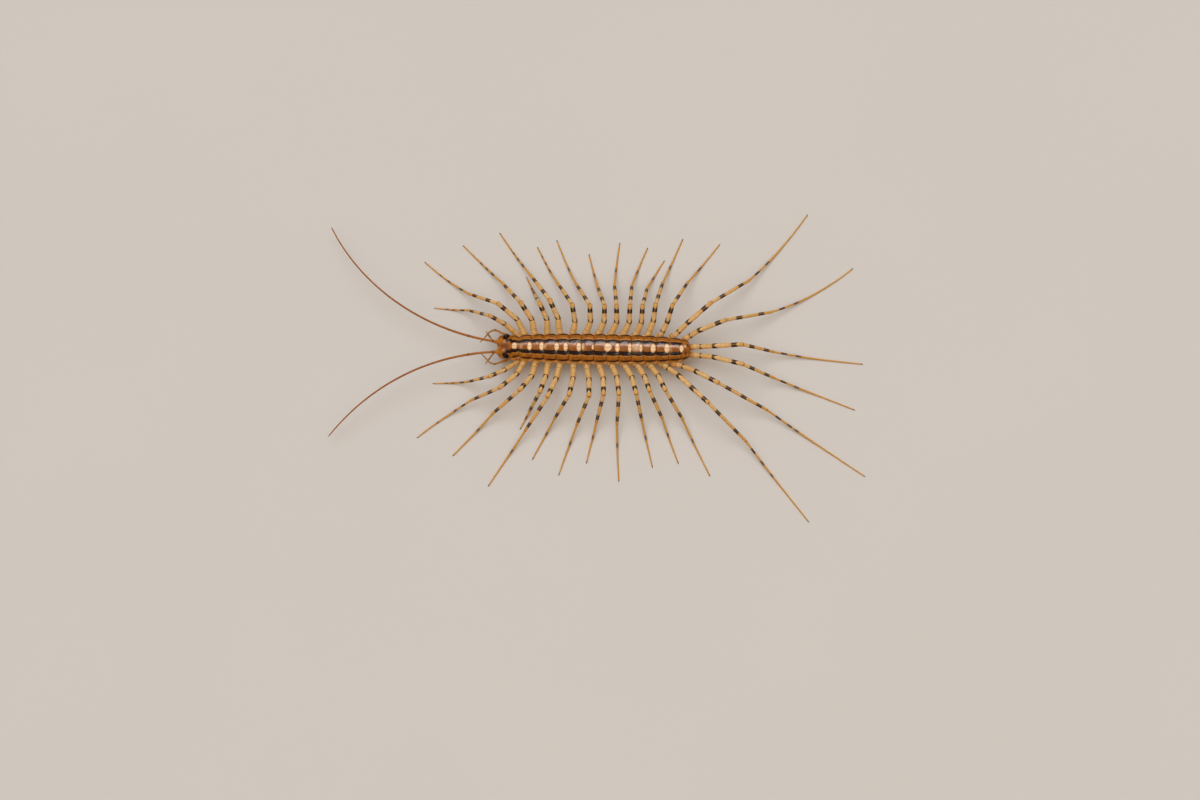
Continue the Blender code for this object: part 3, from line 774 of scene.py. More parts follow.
def paint_plate(graph, mottle, colours):
    """Orange-brown flanks, two dark stripes, a rust middle, cream saddles and a dark rim."""
    along = graph.spot("along")
    across = graph.math("ABSOLUTE", graph.spot("across"))
    wobble = graph.times(graph.math("SUBTRACT", mottle, 0.5), 0.10)
    middling = graph.math("SUBTRACT", graph.times(along, 2.0), 1.0)
    arch = graph.times(graph.times(middling, middling), 0.05)
    place = graph.plus(graph.plus(across, wobble), arch)
    flank = vary(graph, colours.flank, mottle, 0.28)
    front = graph.inverse(graph.step(0.15, 0.60, along))
    middle = vary(graph, colours.middle, mottle, 0.35)
    middle = graph.tint(front, 0.7, middle, "plate_front")
    ground = graph.blend(graph.step(0.4, 0.5, across), middle, flank)
    ground = graph.tint(graph.between(0.585, 0.63, place, 0.015), 0.45, ground, "stripe_edge")
    stripe = graph.between(0.275, 0.575, place, 0.025)
    ends = graph.step(0.965, 0.995, along)
    stripe = graph.times(stripe, graph.inverse(graph.times(ends, 0.5)))
    stripe = graph.times(stripe, graph.inverse(graph.spot("bare")))
    colour = graph.blend(graph.times(stripe, 0.97), ground, colours.stripe)
    pale = graph.times(graph.spot("pale"), graph.plus(mottle, 0.45))
    colour = graph.blend(pale, colour, colours.cream)
    beside = graph.math("ABSOLUTE", graph.spot("saddle_x"))
    ahead = graph.math("ABSOLUTE", graph.spot("saddle_y"))
    outside = graph.plus(graph.math("POWER", beside, 2.4), graph.math("POWER", ahead, 2.4))
    outside = graph.plus(outside, graph.times(wobble, 5.0))
    saddle = graph.inverse(graph.step(0.55, 1.25, outside))
    edge = tuple(c * share for c, share in zip(colours.cream, SADDLE_EDGE))
    cream = graph.blend(graph.step(0.2, 0.9, outside), colours.cream, edge)
    cream = graph.blend(graph.step(0.45, 0.75, mottle), cream, edge)
    clear = graph.plus(graph.times(graph.step(0.03, 0.22, beside), 0.5), 0.5)
    cream = graph.blend(clear, TONES["saddle_seam"], cream)
    colour = graph.blend(saddle, colour, cream)
    arc = graph.between(0.05, 0.27, graph.plus(graph.spot("rim"), wobble), 0.035)
    shown = graph.plus(graph.times(graph.step(0.12, 0.42, along), 0.7), 0.3)
    rear = graph.times(graph.step(0.950, 0.980, along), 0.75)
    dark = graph.math("MAXIMUM", graph.times(arc, shown), rear)
    dark = graph.times(dark, graph.inverse(graph.times(saddle, 0.8)))
    colour = graph.blend(dark, colour, colours.rim)
    return colour, graph.times(saddle, 0.08)


def paint_skin(graph, mottle, colours):
    """Orange skin: painted shade in its creases, darker mottling along its folds, tan at the legs, pale
    at the belly, and a painted cream highlight between plates.
    """
    flank = vary(graph, colours.skin, mottle, 0.3)
    colour = graph.blend(graph.spot("under"), flank, colours.belly)
    tan = vary(graph, tuple(c * HIP_TAN_SHARE for c in colours.leg), mottle, 0.16)
    colour = graph.blend(graph.spot("tan"), colour, tan)
    # Painted shade in the creases and at the ends of the hips, with a darker mottle along the folds.
    colour = graph.tint(graph.spot("crease"), 0.75, colour, "skin_crease")
    # Painted highlight: cream where the skin shows between the plates.
    return graph.blend(graph.times(graph.spot("wet"), 0.9), colour, colours.cream), None


def paint_head(graph, mottle, colours):
    """Glossy rust capsule with darker grooves, a painted pinkish highlight on the bosses and the start
    of the stripes.
    """
    colour = vary(graph, colours.head, mottle, 0.45)
    # The bosses' pale pink tint is a painted highlight.
    for mask, strength in (("core", 0.55), ("lobe", 1.0), ("boss", 0.55), ("groove", 0.7)):
        colour = graph.tint(graph.spot(mask), strength, colour, f"head_{mask}")
    edge = graph.group("ragged_edge", inside=graph.spot("stripe"), soft=0.07, ragged=0.12)
    return graph.blend(edge["Mask"], colour, colours.stripe), None


def paint_leg(graph, mottle, colours):
    """Tan stretches, dark bands with a paler slit on top, orange knees, golden feet."""
    stretch = graph.spot("stretch")
    top = graph.spot("top")
    base = vary(graph, colours.leg, mottle, 0.16)
    root = graph.inverse(graph.step(0.0, 0.22, stretch))
    colour = graph.blend(graph.times(root, 0.7), base, colours.skin)
    colour = graph.tint(graph.between(0.30, 1.0, stretch, 0.04), 0.35, colour, "leg_gold")
    colour = graph.blend(graph.step(1.9, 3.3, stretch), colour, colours.foot)
    knob = graph.step(-0.20, 0.16, graph.spot("knob"))
    colour = graph.blend(graph.times(knob, 0.7), colour, colours.knob)
    edge = graph.group("ragged_edge", inside=graph.spot("cuff"), soft=0.03, ragged=0.03)
    colour = graph.tint(edge["Mask"], 0.72, colour, "leg_cuff")
    halo = graph.group("ragged_edge", inside=graph.spot("band"), soft=0.13, ragged=0.10)
    colour = graph.tint(halo["Mask"], 0.6, colour, "band_halo")
    band = graph.group("ragged_edge", inside=graph.spot("band"), soft=0.055, ragged=0.16)
    slit = graph.times(graph.step(0.80, 0.99, top), graph.times(mottle, 0.9))
    faded = graph.inverse(graph.times(graph.step(3.10, 3.55, stretch), 0.65))
    dark = graph.times(graph.times(band["Mask"], graph.inverse(slit)), faded)
    colour = graph.blend(dark, colour, colours.band)
    return graph.blend(graph.spot("claw"), colour, colours.claw), None


def paint_feeler(graph, mottle, colours):
    """Rusty, finely ringed, darker at each ring and a little brighter towards the root."""
    colour = vary(graph, colours.feeler, mottle, 0.22)
    root = tuple(c * FEELER_ROOT_GAIN for c in colours.feeler)
    colour = graph.blend(graph.step(0.02, 0.25, graph.spot("share")), root, colour)
    colour = graph.tint(graph.spot("ring"), 0.35, colour, "feeler_ring")
    return graph.blend(graph.spot("knot"), colour, TONES["feeler_knot"]), None


def paint_palp(graph, mottle, colours):
    """Orange-brown at the root, olive-tan beyond the elbow, darker at the joints."""
    root = vary(graph, TONES["palp_root"], mottle, 0.2)
    colour = graph.blend(graph.step(0.35, 0.55, graph.spot("share")), root, colours.palp)
    return graph.blend(graph.spot("knot"), colour, TONES["palp_knot"]), None


def paint_fang(graph, mottle, colours):
    root = vary(graph, colours.head, mottle, 0.3)
    return graph.blend(graph.step(0.55, 0.9, graph.spot("share")), root, colours.claw), None


def paint_belly_plate(graph, mottle, colours):
    shell = vary(graph, colours.belly, mottle, 0.3)
    rim = graph.inverse(graph.step(0.03, 0.16, graph.spot("rim")))
    return graph.blend(graph.times(rim, 0.6), shell, colours.rim), None


def paint_eye(graph, mottle, colours):
    colour = vary(graph, TONES["eye"], mottle, 0.4)
    return graph.blend(graph.spot("groove"), colour, TONES["eye_groove"]), None


# Each finish: its paint, roughness, gloss coat, relief, share of light let in and fineness.
FINISHES = {
    "plate_shell": (paint_plate, 0.27, 0.3, 0.22, 0.0, 1.0),
    "flank_skin": (paint_skin, 0.42, 0.1, 0.5, 0.15, 1.4),
    "head_shell": (paint_head, 0.35, 0.05, 0.25, 0.0, 1.0),
    "eye_lens": (paint_eye, 0.20, 0.4, 0.03, 0.0, 1.0),
    "leg_shell": (paint_leg, 0.42, 0.05, 0.3, 0.2, 1.5),
    "antenna_shell": (paint_feeler, 0.4, 0.1, 0.3, 0.0, 2.0),
    "palp_shell": (paint_palp, 0.35, 0.2, 0.3, 0.1, 2.0),
    "fang_shell": (paint_fang, 0.25, 0.5, 0.2, 0.0, 1.0),
    "belly_shell": (paint_belly_plate, 0.36, 0.2, 0.3, 0.0, 1.0),
}


def build_materials():
    """Every material of the animal, made once and kept under its own name."""
    build_cuticle_group()
    build_edge_group()
    for name, settings in FINISHES.items():
        shell_material(name, *settings)


def finish_named(name):
    """The finish of that name, with all finishes made at the first call."""
    if "cuticle" not in bpy.data.node_groups:
        build_materials()
    return bpy.data.materials[name]


def half_width(y):
    return table_value(PLATE_STATIONS, y)[0]


def plate_patch(bm, front, rear, saddle, settings, diamond=False):
    """One back plate as an arched shell with scalloped sides and its saddle raised at the rear."""
    layers = float_layers(bm, "across", "along", "rim", "saddle_x", "saddle_y", "pale", "bare")
    bmesh.ops.create_grid(bm, x_segments=PLATE_COLUMNS, y_segments=PLATE_ROWS, size=1.0)
    length = rear - front
    saddle_y, saddle_length, saddle_width = saddle
    reach_past = max(0.0, saddle_y + saddle_length / 2 - rear)
    for vert in bm.verts:
        u, v = vert.co.x, (vert.co.y + 1) / 2
        side = abs(u)
        y = front + length * v
        taper = FRONT_TAPER * (1 - v) ** FRONT_TAPER_POWER + REAR_TAPER * v**REAR_TAPER_POWER
        wide = half_width(y) * (1 - taper)
        x = wide * u
        tongue = hump(u, 0.30) * smooth_step(0.55, 1.0, v)
        y += (reach_past + 0.02) * tongue
        y -= 0.10 * smooth_step(0.75, 1.0, side) * (v - 0.35)
        z = CROWN_HEIGHT - CROWN_DROP - SIDE_DROP * side**SIDE_DROP_POWER
        z -= EDGE_DROP * side**EDGE_DROP_POWER
        z += PLATE_TILT * (v - 0.5) - PLATE_BOW * (2 * v - 1) ** 2
        z += sum(height * hump(side - place, broad) for height, place, broad in PLATE_RIDGES)
        z += PLATE_UNEVENNESS * noise.noise(Vector((x * 2.1, y * 2.1, 3.0)))
        across_saddle = x / (saddle_width / 2)
        along_saddle = (y - saddle_y) / (saddle_length / 2)
        if diamond:
            along_saddle *= 1 + DIAMOND_TAPER * abs(across_saddle)
        pad = 1 - smooth_step(0.55, 1.15, math.hypot(across_saddle, along_saddle))
        z += settings.saddle_height / MM * pad * (1 - 0.6 * hump(x, 0.06))
        vert.co = (x, y, z)
        pale = 0
        for at, long, broad, strength in PALE_PATCHES:
            pale += strength * hump((y - at) / (long / 2), 1.0) * hump(x / (broad / 2), 1.0)
        bare = float(diamond) * (1 - smooth_step(0.6, 1.2, v / LAST_BARE_FRONT))
        write(vert, layers, across=u, along=v, rim=wide * (1 - side), pale=pale, bare=bare)
        write(vert, layers, saddle_x=across_saddle, saddle_y=along_saddle)
    bmesh.ops.recalc_face_normals(bm, faces=bm.faces)
    if sum(face.normal.z for face in bm.faces) < 0:
        bmesh.ops.reverse_faces(bm, faces=bm.faces)
    bmesh.ops.solidify(bm, geom=bm.faces[:], thickness=settings.plate_thickness / MM)


def heading(side, degrees):
    """Unit vector in plan, turned from straight sideways towards the tail."""
    angle = math.radians(degrees)
    return Vector((side * math.cos(angle), math.sin(angle), 0))


def leg_root(side_name, number):
    side = SIDES[side_name]
    if number <= len(FRONT_HIPS):
        x, back, height = FRONT_HIPS[number - 1]
        return Vector((side * x, TRUNK_FRONT + back, height))
    if number == len(LEGS[side_name]):
        x, y = TAIL_END_HIP
        return Vector((side * x, y, HIP_HEIGHT))
    plate = number - 1
    if plate > PLATE_COUNT:
        x, y = TAIL_SIDE_HIP
        return Vector((side * x, y, HIP_HEIGHT))
    y = TRUNK_FRONT + (plate - 0.5) * PLATE_PITCH - HIP_ADVANCE[side_name]
    return Vector((side * HIP_X, y, HIP_HEIGHT))


def foot_radius(share):
    """Radius of a foot along it, from its rows in the leg's profile."""
    rows = [(row[1], row[3]) for row in LEG_PROFILE if row[0] == 3 and row[2] == 0]
    return table_value(((0.0, FOOT_START_RADIUS), *rows), share)[0]


class LegPath:
    """The middle line of a leg, read by its length in millimetres from the root."""

    def __init__(self, side_name, number):
        pose = LEGS[side_name][number - 1]
        side = SIDES[side_name]
        reach, middle = pose.foot
        ankle_height = min(max(reach * ANKLE_RISE, ANKLE_HEIGHTS[0]), ANKLE_HEIGHTS[1])
        points = [leg_root(side_name, number)]
        heights = (FIRST_JOINT_HEIGHT, KNEE_HEIGHT, ankle_height)
        for (length, turn), height in zip((pose.base, pose.thigh, pose.shin), heights):
            point = points[-1] + heading(side, turn) * length
            point.z = height
            points.append(point)
        ankle = points[-1]
        place = Vector((ankle.x, ankle.y, 0))
        for step in range(1, FOOT_STEPS + 1):
            share = step / FOOT_STEPS
            turn = middle + pose.bend * (share - 0.5 / FOOT_STEPS - 0.5)
            place += heading(side, turn) * reach / FOOT_STEPS
            low = foot_radius(share)
            left = max(0.0, 1 - share / TOUCHDOWN)
            points.append(Vector((place.x, place.y, low + (ankle.z - low) * left**2)))
        along = points[1] - points[0]
        if number > len(FRONT_HIPS) and number < FIRST_REAR_LEG:
            level = math.hypot(along.x, along.y)
            along = heading(side, pose.base[1] * HIP_TURN_SHARE) * level + Vector((0, 0, along.z))
        self.outward = along.normalized()
        self.points = points
        self.marks = [0.0]
        for near, far in zip(points, points[1:]):
            self.marks.append(self.marks[-1] + (far - near).length)
        self.knots = self.marks[:4] + [self.marks[-1]]

    def at(self, length):
        if length <= 0:
            return self.points[0] + self.outward * length
        ends = zip(self.marks, self.marks[1:], self.points, self.points[1:])
        for mark, next_mark, near, far in ends:
            if length <= next_mark:
                return near.lerp(far, (length - mark) / (next_mark - mark))
        return self.points[-1].copy()

    def smooth_at(self, length):
        """The middle line with its corners rounded."""
        reach = max(0.0, min(CORNER_REACH, self.knots[-1] - length))
        return (self.at(length - reach) + self.at(length) * 2 + self.at(length + reach)) / 4

    def direction(self, length):
        ahead = self.at(min(length + HEADING_REACH, self.knots[-1]))
        return (ahead - self.at(length - HEADING_REACH)).normalized()

    def place(self, stretch, share, past=0.0):
        start, end = self.knots[stretch], self.knots[stretch + 1]
        return start + (end - start) * share + past

    def stretch_share(self, length):
        """Stretch number plus the share of it, as one value from 0 to 4."""
        for stretch in range(4):
            start, end = self.knots[stretch], self.knots[stretch + 1]
            if length <= end:
                return stretch + max(0.0, (length - start) / (end - start))
        return 4.0


def leg_stations(path, thickness, root_thickness, swell):
    """Lengths along a leg with the radius at each, with the small joints of the foot added."""
    rows = []
    for stretch, share, past, radius in LEG_PROFILE:
        slim = 1.0
        if stretch == 0:
            slim = root_thickness * (1 + swell * (smooth_step(0.2, 0.8, share) - 0.5))
        rows.append((path.place(stretch, share, past), radius * thickness * slim))
    rows.sort()
    foot_start, foot_end = (path.place(3, share, past) for share, past in enumerate(FOOT_ARTICLE_ENDS))
    stations = []
    for (near, _), (far, _) in zip(rows, rows[1:]):
        steps = max(1, math.ceil((far - near) / LEG_RING_STEP))
        stations += [near + (far - near) * step / steps for step in range(steps)]
    stations.append(rows[-1][0])
    stations = [place for place in stations if place < foot_start or place > foot_end]
    found = [(place, table_value(rows, place)[0]) for place in stations]
    count = max(4, round((foot_end - foot_start) / FOOT_ARTICLE))
    pitch = (foot_end - foot_start) / count
    for article in range(count):
        for share, swelling in FOOT_ARTICLE_RINGS:
            place = foot_start + pitch * (article + share)
            found.append((place, table_value(rows, place)[0] * (1 + FOOT_ARTICLE_SWELL * swelling)))
    return sorted(found)


def nearest_inside(place, marks):
    """How far a place lies inside the nearest of (middle, half length) marks."""
    return max(half - abs(place - middle) for middle, half in marks)


def inside_bands(place, side, bands):
    """How far a place lies inside the nearest band; side is 0 on top and 1 at the sides."""
    on_top = 1 - smooth_step(*WEDGE_SIDES, side)
    depths = []
    for middle, shape in bands:
        start = middle - shape.half
        end = middle + shape.half - shape.wedge * on_top
        depths.append(min(place - start, end - place))
    return max(depths)


def leg_bands(path, pose, rear, wedge_share):
    """Dark bands and joint marks of a leg as (middle, shape) along it."""
    shapes = REAR_BAND_SHAPES if rear else BAND_SHAPES
    mark = REAR_JOINT_MARK if rear else JOINT_MARK
    bands = [(path.place(1, 0.0, mark.half - 0.04), mark)]
    if rear:
        bands.append((path.place(0, BASE_JOINT), ROOT_MARK))
    for stretch, shares in enumerate(pose.bands, 1):
        shape = shapes[stretch - 1]
        shape = shape._replace(wedge=shape.wedge * wedge_share)
        for share in shares:
            bands.append((path.place(stretch, share), shape))
            if stretch == 3:
                shape = shape._replace(half=shape.half * 0.85)
    return bands


def add_spurs(bm, layers, path, thickness, length):
    """Thin spurs that stand out round the end of each of the first three stretches."""
    for stretch, spread, size in SPUR_JOINTS:
        place = path.place(stretch, 1.0, -0.10)
        centre, along = path.smooth_at(place), path.direction(place - 0.2)
        across = along.cross(Vector((0, 0, 1))).normalized()
        up = across.cross(along)
        for degrees in SPUR_ANGLES:
            angle = math.radians(degrees)
            out = across * math.cos(angle) + up * math.sin(angle)
            base = centre + out * spread * thickness * 0.82
            tip = base + (along * 0.85 + out * 0.5) * length * size
            for vert in spine(bm, base, tip, SPUR_RADIUS):
                claw = 0.6 * smooth_step(0.0, 0.5, (vert.co - base).length)
                write(vert, layers, stretch=stretch + 1.0, band=-1.0, knob=0.1, cuff=-1.0, claw=claw)


def build_leg(side_name, number, settings):
    """One jointed leg with its bands written on it, spurs at its joints and a claw at its tip."""
    pose = LEGS[side_name][number - 1]
    path = LegPath(side_name, number)
    rear = number >= FIRST_REAR_LEG
    thickness = settings.leg_thickness
    if number <= len(FRONT_THICKNESS):
        thickness *= FRONT_THICKNESS[number - 1]
    if rear:
        thickness *= REAR_THICKNESS
    bm = bmesh.new()
    layers = float_layers(bm, "stretch", "top", "band", "knob", "cuff", "claw")
    swell = 0.0 if rear else BASE_SWELL[side_name]
    base_thickness = REAR_ROOT_THICKNESS if rear else BASE_THICKNESS[side_name]
    stations = leg_stations(path, thickness, base_thickness, swell)
    frames = []
    for place, radius in stations:
        upright = radius * (UPPER_FLATNESS if path.stretch_share(place) < 2 else 1.0)
        ring_frame = frame_at(path.smooth_at(place), path.direction(place), radius, upright)
        lowest = ring_frame.translation.z - radius * LEG_RIDGE - FLOOR_GAP
        ring_frame.translation.z -= min(0.0, lowest)
        frames.append(ring_frame)

    def ridged(point):
        turn = math.atan2(point.y, point.x)
        return point * (1 + (LEG_RIDGE - 1) * math.cos(4 * turn))

    rings = sweep(bm, frames, LEG_SIDES, ridged)
    bands = leg_bands(path, pose, rear, WEDGE_SHARE[side_name])
    marks = {key: [(path.place(*row[:3]), row[3]) for row in rows] for key, rows in LEG_RINGS.items()}
    for (place, radius), ring_frame, ring in zip(stations, frames, rings):
        across = ring_frame.col[0].to_3d().normalized()
        up = ring_frame.col[1].to_3d().normalized()
        values = {key: nearest_inside(place, spots) for key, spots in marks.items()}
        values["stretch"] = path.stretch_share(place)
        values["claw"] = smooth_step(*CLAW_PLACE, place - path.knots[-1])
        for vert in ring:
            off = (vert.co - ring_frame.translation) / radius
            band = inside_bands(place, abs(off.dot(across)), bands)
            write(vert, layers, top=off.dot(up), band=band, **values)
    add_spurs(bm, layers, path, thickness, settings.spur_length / MM)
    name = f"leg_{side_name}_{number:02d}"
    finish_piece(f"banded_{name}", bm, "leg_shell", "legs", name)


def build_body_skin():
    """The soft body from the neck to the tail, with a short ring-shaped hip round each leg."""
    bm = bmesh.new()
    layers = float_layers(bm, "under", "crease", "tan", "wet")
    end = TAIL_END - 0.10
    frames = []
    for index in range(SKIN_RINGS + 1):
        y = SKIN_START + (end - SKIN_START) * index / SKIN_RINGS
        phase = (y - TRUNK_FRONT) / PLATE_PITCH
        pinch = abs(math.cos(math.pi * phase)) ** 6
        wide = half_width(y) * FLANK_SHARE * (1 - 0.06 * pinch)
        tail = smooth_step(12.4, end + 0.25, y)
        wide *= 1 - 0.50 * tail**2
        low = BELLY_HEIGHT + 0.06 * pinch + 0.75 * tail**2 + 0.45 * smooth_step(-12.9, SKIN_START, y)
        frames.append(level_ring(y, low, FLANK_HEIGHT + 0.25 - 0.25 * tail**2, wide))
    for ring in sweep(bm, frames, SKIN_SIDES, rounded_square(2.0)):
        for vert in ring:
            x, y, z = vert.co
            phase = (y - TRUNK_FRONT) / PLATE_PITCH
            between = phase - round(phase)
            fold = noise.noise(Vector((x * 1.2, y * 2.6, z * 2.6)))
            joint = hump(between, 0.07)
            edge = smooth_step(2.30, 2.60, z)
            # Painted shade at the plate joints low on the flank, and a darker mottle along the folds.
            crease = max(joint * (1 - edge), 0.35 * smooth_step(0.1, 0.5, fold))
            # Painted highlight on the skin at the plate joints near the plates' edge, weaker on the
            # left.
            wet = hump(between, 0.10) * edge * (1.0 if x < 0 else LEFT_HIGHLIGHT_SHARE)
            write(vert, layers, under=smooth_step(2.2, 1.6, z), crease=crease, wet=wet)
            vert.co.x *= 1 + FOLD_SIZE * fold + 0.05 * joint * edge
            vert.co.z += FOLD_SIZE * fold
    for side_name, number in EVERY_LEG:
        build_hip(bm, layers, side_name, number)
    finish_piece("body_skin", bm, "flank_skin", "plates", *TRUNK_NODES, "tail", sharp=80)


def build_hip(bm, layers, side_name, number):
    """A swollen ring of skin from which one leg grows, closed by a lip round the leg."""
    path = LegPath(side_name, number)
    size = 1.0
    if number <= len(FRONT_HIPS):
        size = FRONT_HIP_SIZE
    elif number > PLATE_COUNT + 1:
        size = TAIL_HIP_SIZE
    frames = []
    for past, radius, _, _ in HIP_RINGS:
        centre = path.points[0] + path.outward * past * size * HIP_REACH[side_name]
        frames.append(frame_at(centre, path.outward, radius * size, radius * size * 0.94))
    # Painted shade darkens the rings where the hip meets the body and the lip round the leg.
    for (_, _, dark, tan), ring in zip(HIP_RINGS, sweep(bm, frames, HIP_SIDES)):
        for vert in ring:
            write(vert, layers, under=0.6 * smooth_step(2.2, 1.6, vert.co.z), crease=dark, tan=tan)


def build_belly_plates():
    """Low shields in a row along the underside, one under each back plate, as one piece."""
    bm = bmesh.new()
    rim = bm.verts.layers.float.new("rim")
    length = PLATE_PITCH - SHIELD_GAP
    for plate in range(PLATE_COUNT):
        front = TRUNK_FRONT + plate * PLATE_PITCH + SHIELD_START
        grid = bmesh.ops.create_grid(bm, x_segments=SHIELD_CELLS, y_segments=SHIELD_CELLS, size=1.0)
        for vert in grid["verts"]:
            u, v = vert.co.x, vert.co.y
            x = SHIELD_HALF_WIDTH * u * (1 - 0.18 * v * v)
            y = front + length * ((v * (1 - 0.10 * u * u)) + 1) / 2
            z = BELLY_HEIGHT - 0.02 + 0.10 * (abs(u) ** 3 + abs(v) ** 5) / 2
            vert.co = (x, y, z)
            vert[rim] = min(1 - abs(u), 1 - abs(v))
    bmesh.ops.recalc_face_normals(bm, faces=bm.faces)
    bmesh.ops.solidify(bm, geom=bm.faces[:], thickness=SHIELD_THICKNESS)
    finish_piece("belly_plates", bm, "belly_shell", "plates", *TRUNK_NODES, sharp=60)


def eye_frame(side):
    """Place and turn of an eye's seat: its own Z points out of the head and its Y along it."""
    tilt = Matrix.Rotation(side * EYE_TURN, 4, "Y")
    yaw = Matrix.Rotation(-side * EYE_YAW, 4, "Z")
    spin = Matrix.Rotation(-side * EYE_SPIN, 4, "Z")
    seat = Vector((side * EYE_SEAT.x, EYE_SEAT.y, EYE_SEAT.z))
    return Matrix.Translation(seat) @ yaw @ tilt @ spin


def head_swelling(form, side, y):
    """The share of one of the head's swellings that a place has."""
    _, place, broad, along, long = form
    return hump(side - place, broad) * hump(y - along, long)


def head_groove(x, y):
    """How deep a place lies in the head's furrows: a seam, a fork ahead of it and an arc."""
    side = abs(x)
    seam = hump(x, 0.045) * smooth_step(-15.75, -15.4, y) * smooth_step(-14.0, -14.25, y)
    fork = hump(side - 0.22 - 0.85 * max(0.0, -y - 15.0), 0.05) * smooth_step(-15.0, -15.2, y)
    arc = hump(y + 14.42 + 0.18 * side * side, 0.055) * smooth_step(1.6, 1.2, side)
    return max(seam, fork * smooth_step(-15.95, -15.7, y), 0.8 * arc)


def build_head_capsule():
    """The head: a domed capsule with lobes at the feelers, grooves, bosses and eye rims."""
    bm = bmesh.new()
    layers = float_layers(bm, "lobe", "boss", "groove", "stripe", "core")
    frames = []
    first, last = HEAD_SECTIONS[0][0], HEAD_SECTIONS[-1][0]
    for index in range(HEAD_RINGS + 1):
        y = first + (last - first) * (index / HEAD_RINGS) ** HEAD_RING_POWER
        wide, high, low = table_value(HEAD_SECTIONS, y)
        frames.append(level_ring(y, low, high, wide))
    sweep(bm, frames, HEAD_SIDES, rounded_square(HEAD_SQUARENESS))
    bmesh.ops.recalc_face_normals(bm, faces=bm.faces)
    axes = {"use_axis_x": True, "use_axis_y": True, "use_axis_z": True}
    bmesh.ops.smooth_vert(bm, verts=bm.verts, factor=0.5, **axes)
    bm.normal_update()
    eye_frames = [eye_frame(side).inverted() for side in SIDES.values()]
    half_stripe, stripe_middle, stripe_front = HEAD_STRIPE
    for vert in bm.verts:
        x, y, z = vert.co
        side = abs(x)
        upper = smooth_step(2.9, 3.4, z)
        lobe = head_swelling(HEAD_LOBE, side, y) * smooth_step(2.7, 3.2, z)
        # The boss share shapes the swellings and also carries their painted highlight.
        boss = head_swelling(HEAD_BOSS, side, y) * upper
        groove = upper * head_groove(x, y)
        push = -HEAD_NOTCH * hump(x, 0.30) * smooth_step(-15.6, -15.95, y)
        push += HEAD_LOBE[0] * lobe + HEAD_BOSS[0] * boss - HEAD_GROOVE * groove
        for turned in eye_frames:
            near = turned @ vert.co
            if near.z > -0.5:
                off = math.hypot(near.x / EYE_SIZE.x, near.y / EYE_SIZE.y)
                push += EYE_RIM * hump(off - 1.28, 0.20)
                groove = max(groove, 0.6 * hump(off - 1.08, 0.10))
        core = upper * hump(x, 0.85) * smooth_step(-15.75, -15.0, y)
        stripe = min(half_stripe - abs(side - stripe_middle), 0.5 * (y - stripe_front)) + upper - 1
        write(vert, layers, lobe=min(1.0, lobe), boss=boss, groove=groove, core=core, stripe=stripe)
        vert.co += vert.normal * push
    forward = Vector((0, -1, 0))
    for side in SIDES.values():
        start = Vector((side * SOCKET_START.x, SOCKET_START.y, SOCKET_START.z))
        frames = []
        for ahead, radius in SOCKET_RINGS:
            frames.append(frame_at(start + forward * ahead, forward, radius, radius))
        for ring in sweep(bm, frames, SOCKET_SIDES):
            for vert in ring:
                write(vert, layers, lobe=1.0, stripe=-1.0)
    finish_piece("head_capsule", bm, "head_shell", "head", "head", sharp=60)


def build_eye(side_name):
    """A glossy oval dome covered in small raised facets."""
    bm = bmesh.new()
    groove = bm.verts.layers.float.new("groove")
    bmesh.ops.create_icosphere(bm, subdivisions=3, radius=1.0)
    corners = {"offset": 100 / 3, "offset_type": "PERCENT", "affect": "VERTICES", "segments": 1}
    bmesh.ops.bevel(bm, geom=bm.verts[:], **corners)
    for vert in bm.verts:
        vert.co.normalize()
    everything = bm.verts[:] + bm.edges[:] + bm.faces[:]
    plane = {"plane_co": (0, 0, EYE_CUT), "plane_no": (0, 0, 1)}
    bmesh.ops.bisect_plane(bm, geom=everything, clear_inner=True, **plane)
    rim = [edge for edge in bm.edges if edge.is_boundary]
    facets = [face for face in bm.faces if face.calc_center_median().z > FACET_LIMIT]
    bmesh.ops.holes_fill(bm, edges=rim)
    sunk = set(bm.verts)
    bmesh.ops.inset_individual(bm, faces=facets, **FACET_INSET)
    for vert in sunk:
        vert[groove] = 0.6
    size = Matrix.Diagonal((EYE_SIZE.x, EYE_SIZE.y, EYE_SIZE.z, 1))
    place = eye_frame(SIDES[side_name]) @ Matrix.Translation((0, 0, EYE_LIFT)) @ size
    bmesh.ops.transform(bm, matrix=place, verts=bm.verts)
    name = f"eye_{side_name}"
    finish_piece(f"faceted_{name}", bm, "eye_lens", "eyes", name, sharp=80)


